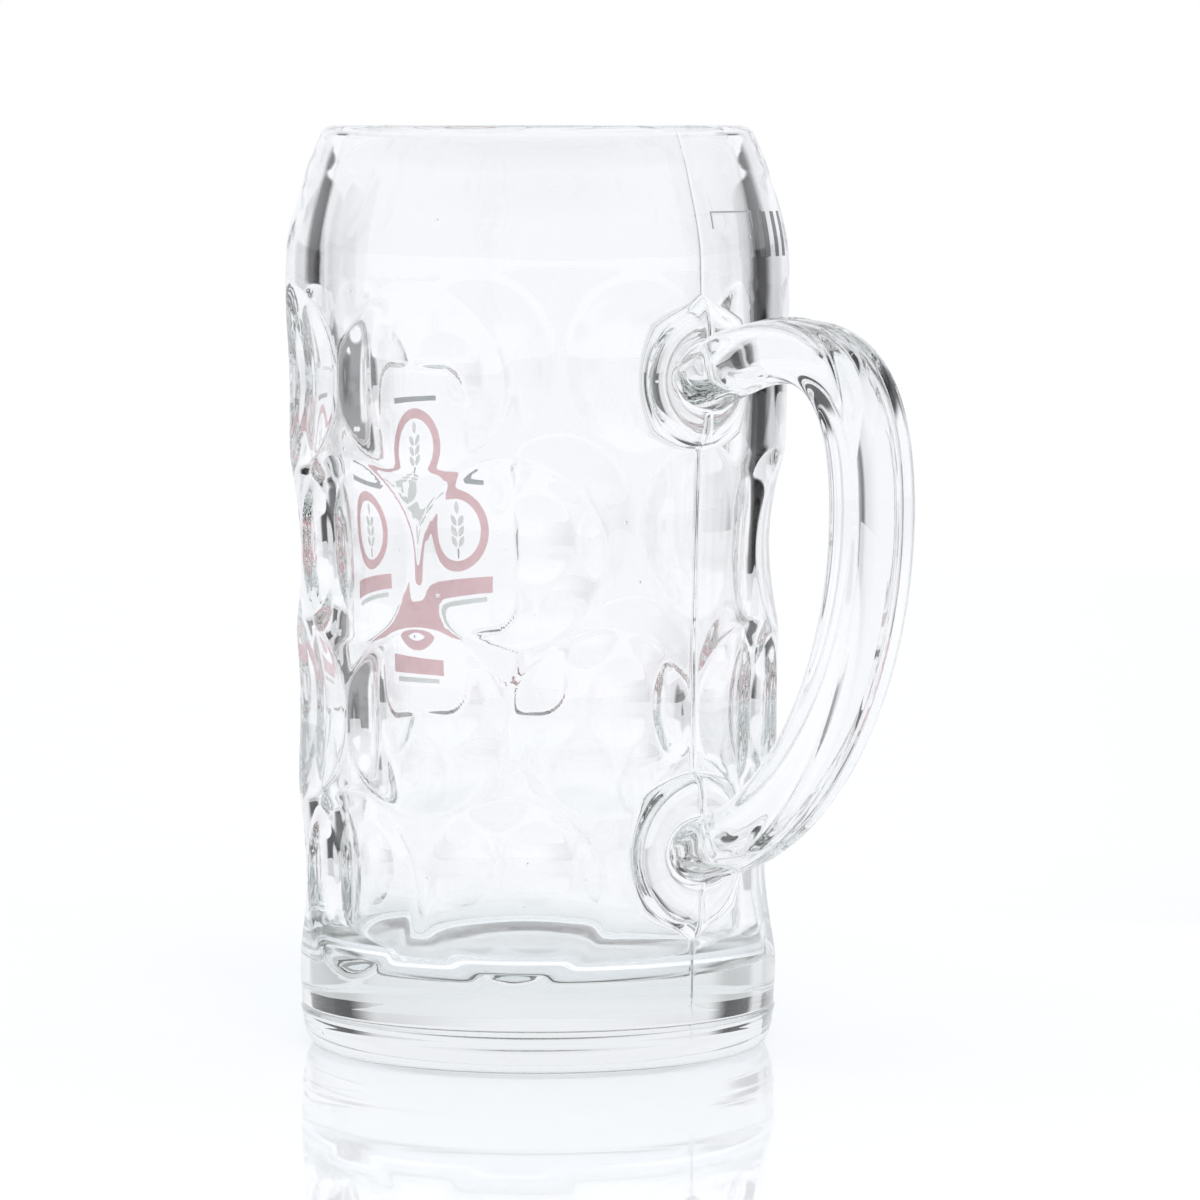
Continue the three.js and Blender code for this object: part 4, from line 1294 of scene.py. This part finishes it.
class MUG_OT_stage(bpy.types.Operator):
    """Set up the floor, the room, the dark side cloths, the lamp and the camera"""

    bl_idname = "mug.stage"
    bl_label = "Studio"

    def execute(self, context):
        scene = context.scene
        stage = scene.mug_stage
        self.lay_floor(stage)
        self.light_room(scene, stage)
        self.hang_lamp(stage)
        self.stand_cloths(stage)
        self.place_camera(scene, stage)
        scene.view_settings.view_transform = "Standard"
        scene.cycles.max_bounces = MOST_BOUNCES
        scene.cycles.transmission_bounces = MOST_BOUNCES
        scene.cycles.glossy_bounces = MOST_REFLECTIONS
        return {"FINISHED"}

    def lay_floor(self, stage):
        """The floor that the mug stands on."""
        half = stage.floor_size / 2
        corners = [(-half, -half, 0), (half, -half, 0), (half, half, 0), (-half, half, 0)]
        floor = add_object("floor", corners, [(0, 1, 2, 3)])
        floor.data.materials.append(floor_material())

    def light_room(self, scene, stage):
        """A white room that is dimmer overhead, as far as it shows in the glass."""
        world = bpy.data.worlds.new("studio_room")
        world.use_nodes = True
        world.node_tree.nodes.clear()
        scene.world = world
        sketch = NodeSketch(world.node_tree)
        way = sketch.node("ShaderNodeTexCoord").outputs["Generated"]
        rise = sketch.node("ShaderNodeSeparateXYZ", {0: way}).outputs["Z"]
        start, stop = (math.sin(math.radians(degrees)) for degrees in SKY_DIMS)
        tone = sketch.ramp(
            rise, start, stop, stage.sky_low, stage.sky_high, interpolation_type="SMOOTHSTEP")
        straight = sketch.node("ShaderNodeLightPath").outputs["Is Camera Ray"]
        cast = sketch.node("ShaderNodeMix", {
            "Factor": straight, 6: (*stage.room_tint, 1.0), 7: WHITE}, data_type="RGBA")
        strength = sketch.node("ShaderNodeMix", {"Factor": straight, 2: tone, 3: 1.0})
        shown = sketch.node("ShaderNodeBackground", {
            "Color": cast.outputs[2], "Strength": strength.outputs[0]})
        lit = sketch.node("ShaderNodeBackground", {"Color": WHITE, "Strength": stage.room_light})
        pick = sketch.node("ShaderNodeMixShader", {
            0: seen_rays(sketch), 1: lit.outputs[0], 2: shown.outputs[0]})
        sketch.node("ShaderNodeOutputWorld", {"Surface": pick.outputs[0]})

    def hang_lamp(self, stage):
        """One wide soft lamp over the camera, which the glass doesn't mirror."""
        lamp = bpy.data.lights.new("soft_lamp", "SUN")
        lamp.energy = stage.lamp_power
        lamp.angle = math.radians(LAMP_SPREAD)
        holder = bpy.data.objects.new("soft_lamp", lamp)
        bpy.context.scene.collection.objects.link(holder)
        holder.visible_glossy = False
        holder.visible_transmission = False
        holder.rotation_euler = Vector(LAMP_WAY).to_track_quat("Z", "Y").to_euler()

    def stand_cloths(self, stage):
        """Dark cloths that rise from the floor beside the background and draw the glass's edges."""
        material = cloth_material()
        ahead = math.pi / 2 + stage.camera_azimuth
        sides = (
            ("right_cloth", -1, RIGHT_START, RIGHT_FADE, RIGHT_END, 0.0),
            ("left_cloth", 1, LEFT_START, LEFT_FADE, LEFT_END, GAP_LIGHT))
        for name, side, start, fade_share, end, gap_light in sides:
            offsets, along = np.meshgrid(
                np.linspace(FADE_START, end, CLOTH_COLUMNS), np.linspace(0, 1, CLOTH_ROWS))
            nearing = smooth_step(offsets, *FOOT_TURN)
            closing = smooth_step(offsets, *LAST_TURN)
            foot = stage.cloth_far_foot + (stage.cloth_near_foot - stage.cloth_far_foot) * nearing
            foot = foot + (stage.cloth_last_foot - stage.cloth_near_foot) * closing
            rise = stage.cloth_rise + (stage.cloth_last_rise - stage.cloth_rise) * closing
            reach = foot * (stage.cloth_reach / foot) ** along
            tall = np.where(along > 0, reach * np.tan(rise), 0)
            fade = fade_share * smooth_step(offsets, FADE_START, start)
            cover = fade + (1 - fade) * smooth_step(offsets, start, CLOTH_FULL)
            cover = cover * (1 - THIN_SHARE * smooth_step(offsets, *THIN_TURN))
            gap = smooth_step(offsets, *GAP_OPENS) - smooth_step(offsets, *GAP_CLOSES)
            cover = cover * (1 - gap_light * gap)
            cover = cover * (1 - smooth_step(offsets, end - CLOTH_EDGE, end))
            cover = cover * (1 - smooth_step(reach, stage.cloth_reach / 2, stage.cloth_reach))
            turn = ahead + side * np.radians(offsets)
            points = np.stack([reach * np.cos(turn), reach * np.sin(turn), tall], -1)
            faces = grid_faces(CLOTH_ROWS - 1, CLOTH_COLUMNS - 1)
            cloth = add_object(name, points.reshape(-1, 3), faces)
            set_point_value(cloth.data, "cover", cover.ravel())
            cloth.data.materials.append(material)
            cloth.visible_camera = False
            cloth.visible_diffuse = False
            cloth.visible_shadow = False

    def place_camera(self, scene, stage):
        """A long lens at the height of the lip."""
        data = bpy.data.cameras.new("camera")
        data.sensor_width = SENSOR_WIDTH
        data.lens = stage.lens
        camera = bpy.data.objects.new("camera", data)
        scene.collection.objects.link(camera)
        back = Vector((math.sin(stage.camera_azimuth), -math.cos(stage.camera_azimuth), 0.0))
        right = Vector((math.cos(stage.camera_azimuth), math.sin(stage.camera_azimuth), 0.0))
        camera.location = back * stage.camera_distance + Vector((0, 0, stage.camera_height))
        aim = right * stage.aim_right + Vector((0, 0, stage.aim_height))
        camera.rotation_euler = (aim - camera.location).to_track_quat("-Z", "Y").to_euler()
        scene.camera = camera


class MUG_PT_panel(bpy.types.Panel):
    """The mug's settings and its building steps"""

    bl_idname = "MUG_PT_panel"
    bl_label = "Dimpled Mug"
    bl_space_type = "VIEW_3D"
    bl_region_type = "UI"
    bl_category = "Mug"

    def draw(self, context):
        for operator, groups in STEPS:
            box = self.layout.box()
            box.operator(operator.bl_idname)
            for group in groups:
                settings = getattr(context.scene, group)
                for name in settings.bl_rna.properties.keys():
                    if name not in ("rna_type", "name"):
                        box.prop(settings, name)


GROUPS = {
    "mug_body": MugBodySettings,
    "mug_dimples": MugDimpleSettings,
    "mug_handle": MugHandleSettings,
    "mug_print": MugPrintSettings,
    "mug_stage": MugStageSettings,
}
STEPS = (
    (MUG_OT_glass, ("mug_body", "mug_dimples", "mug_handle")),
    (MUG_OT_print, ("mug_print",)),
    (MUG_OT_marks, ()),
    (MUG_OT_stage, ("mug_stage",)),
)
CLASSES = (*GROUPS.values(), *(operator for operator, groups in STEPS), MUG_PT_panel)


def register():
    """Adds the classes and the settings to Blender."""
    for kind in CLASSES:
        bpy.utils.register_class(kind)
    for name, group in GROUPS.items():
        setattr(bpy.types.Scene, name, bpy.props.PointerProperty(type=group))


def unregister():
    """Takes the settings and the classes out again."""
    for name in GROUPS:
        delattr(bpy.types.Scene, name)
    for kind in reversed(CLASSES):
        bpy.utils.unregister_class(kind)


def main():
    """Builds the mug and its studio."""
    register()
    bpy.ops.mug.glass()
    bpy.ops.mug.print()
    bpy.ops.mug.marks()
    bpy.ops.mug.stage()


if __name__ == "__main__":
    main()
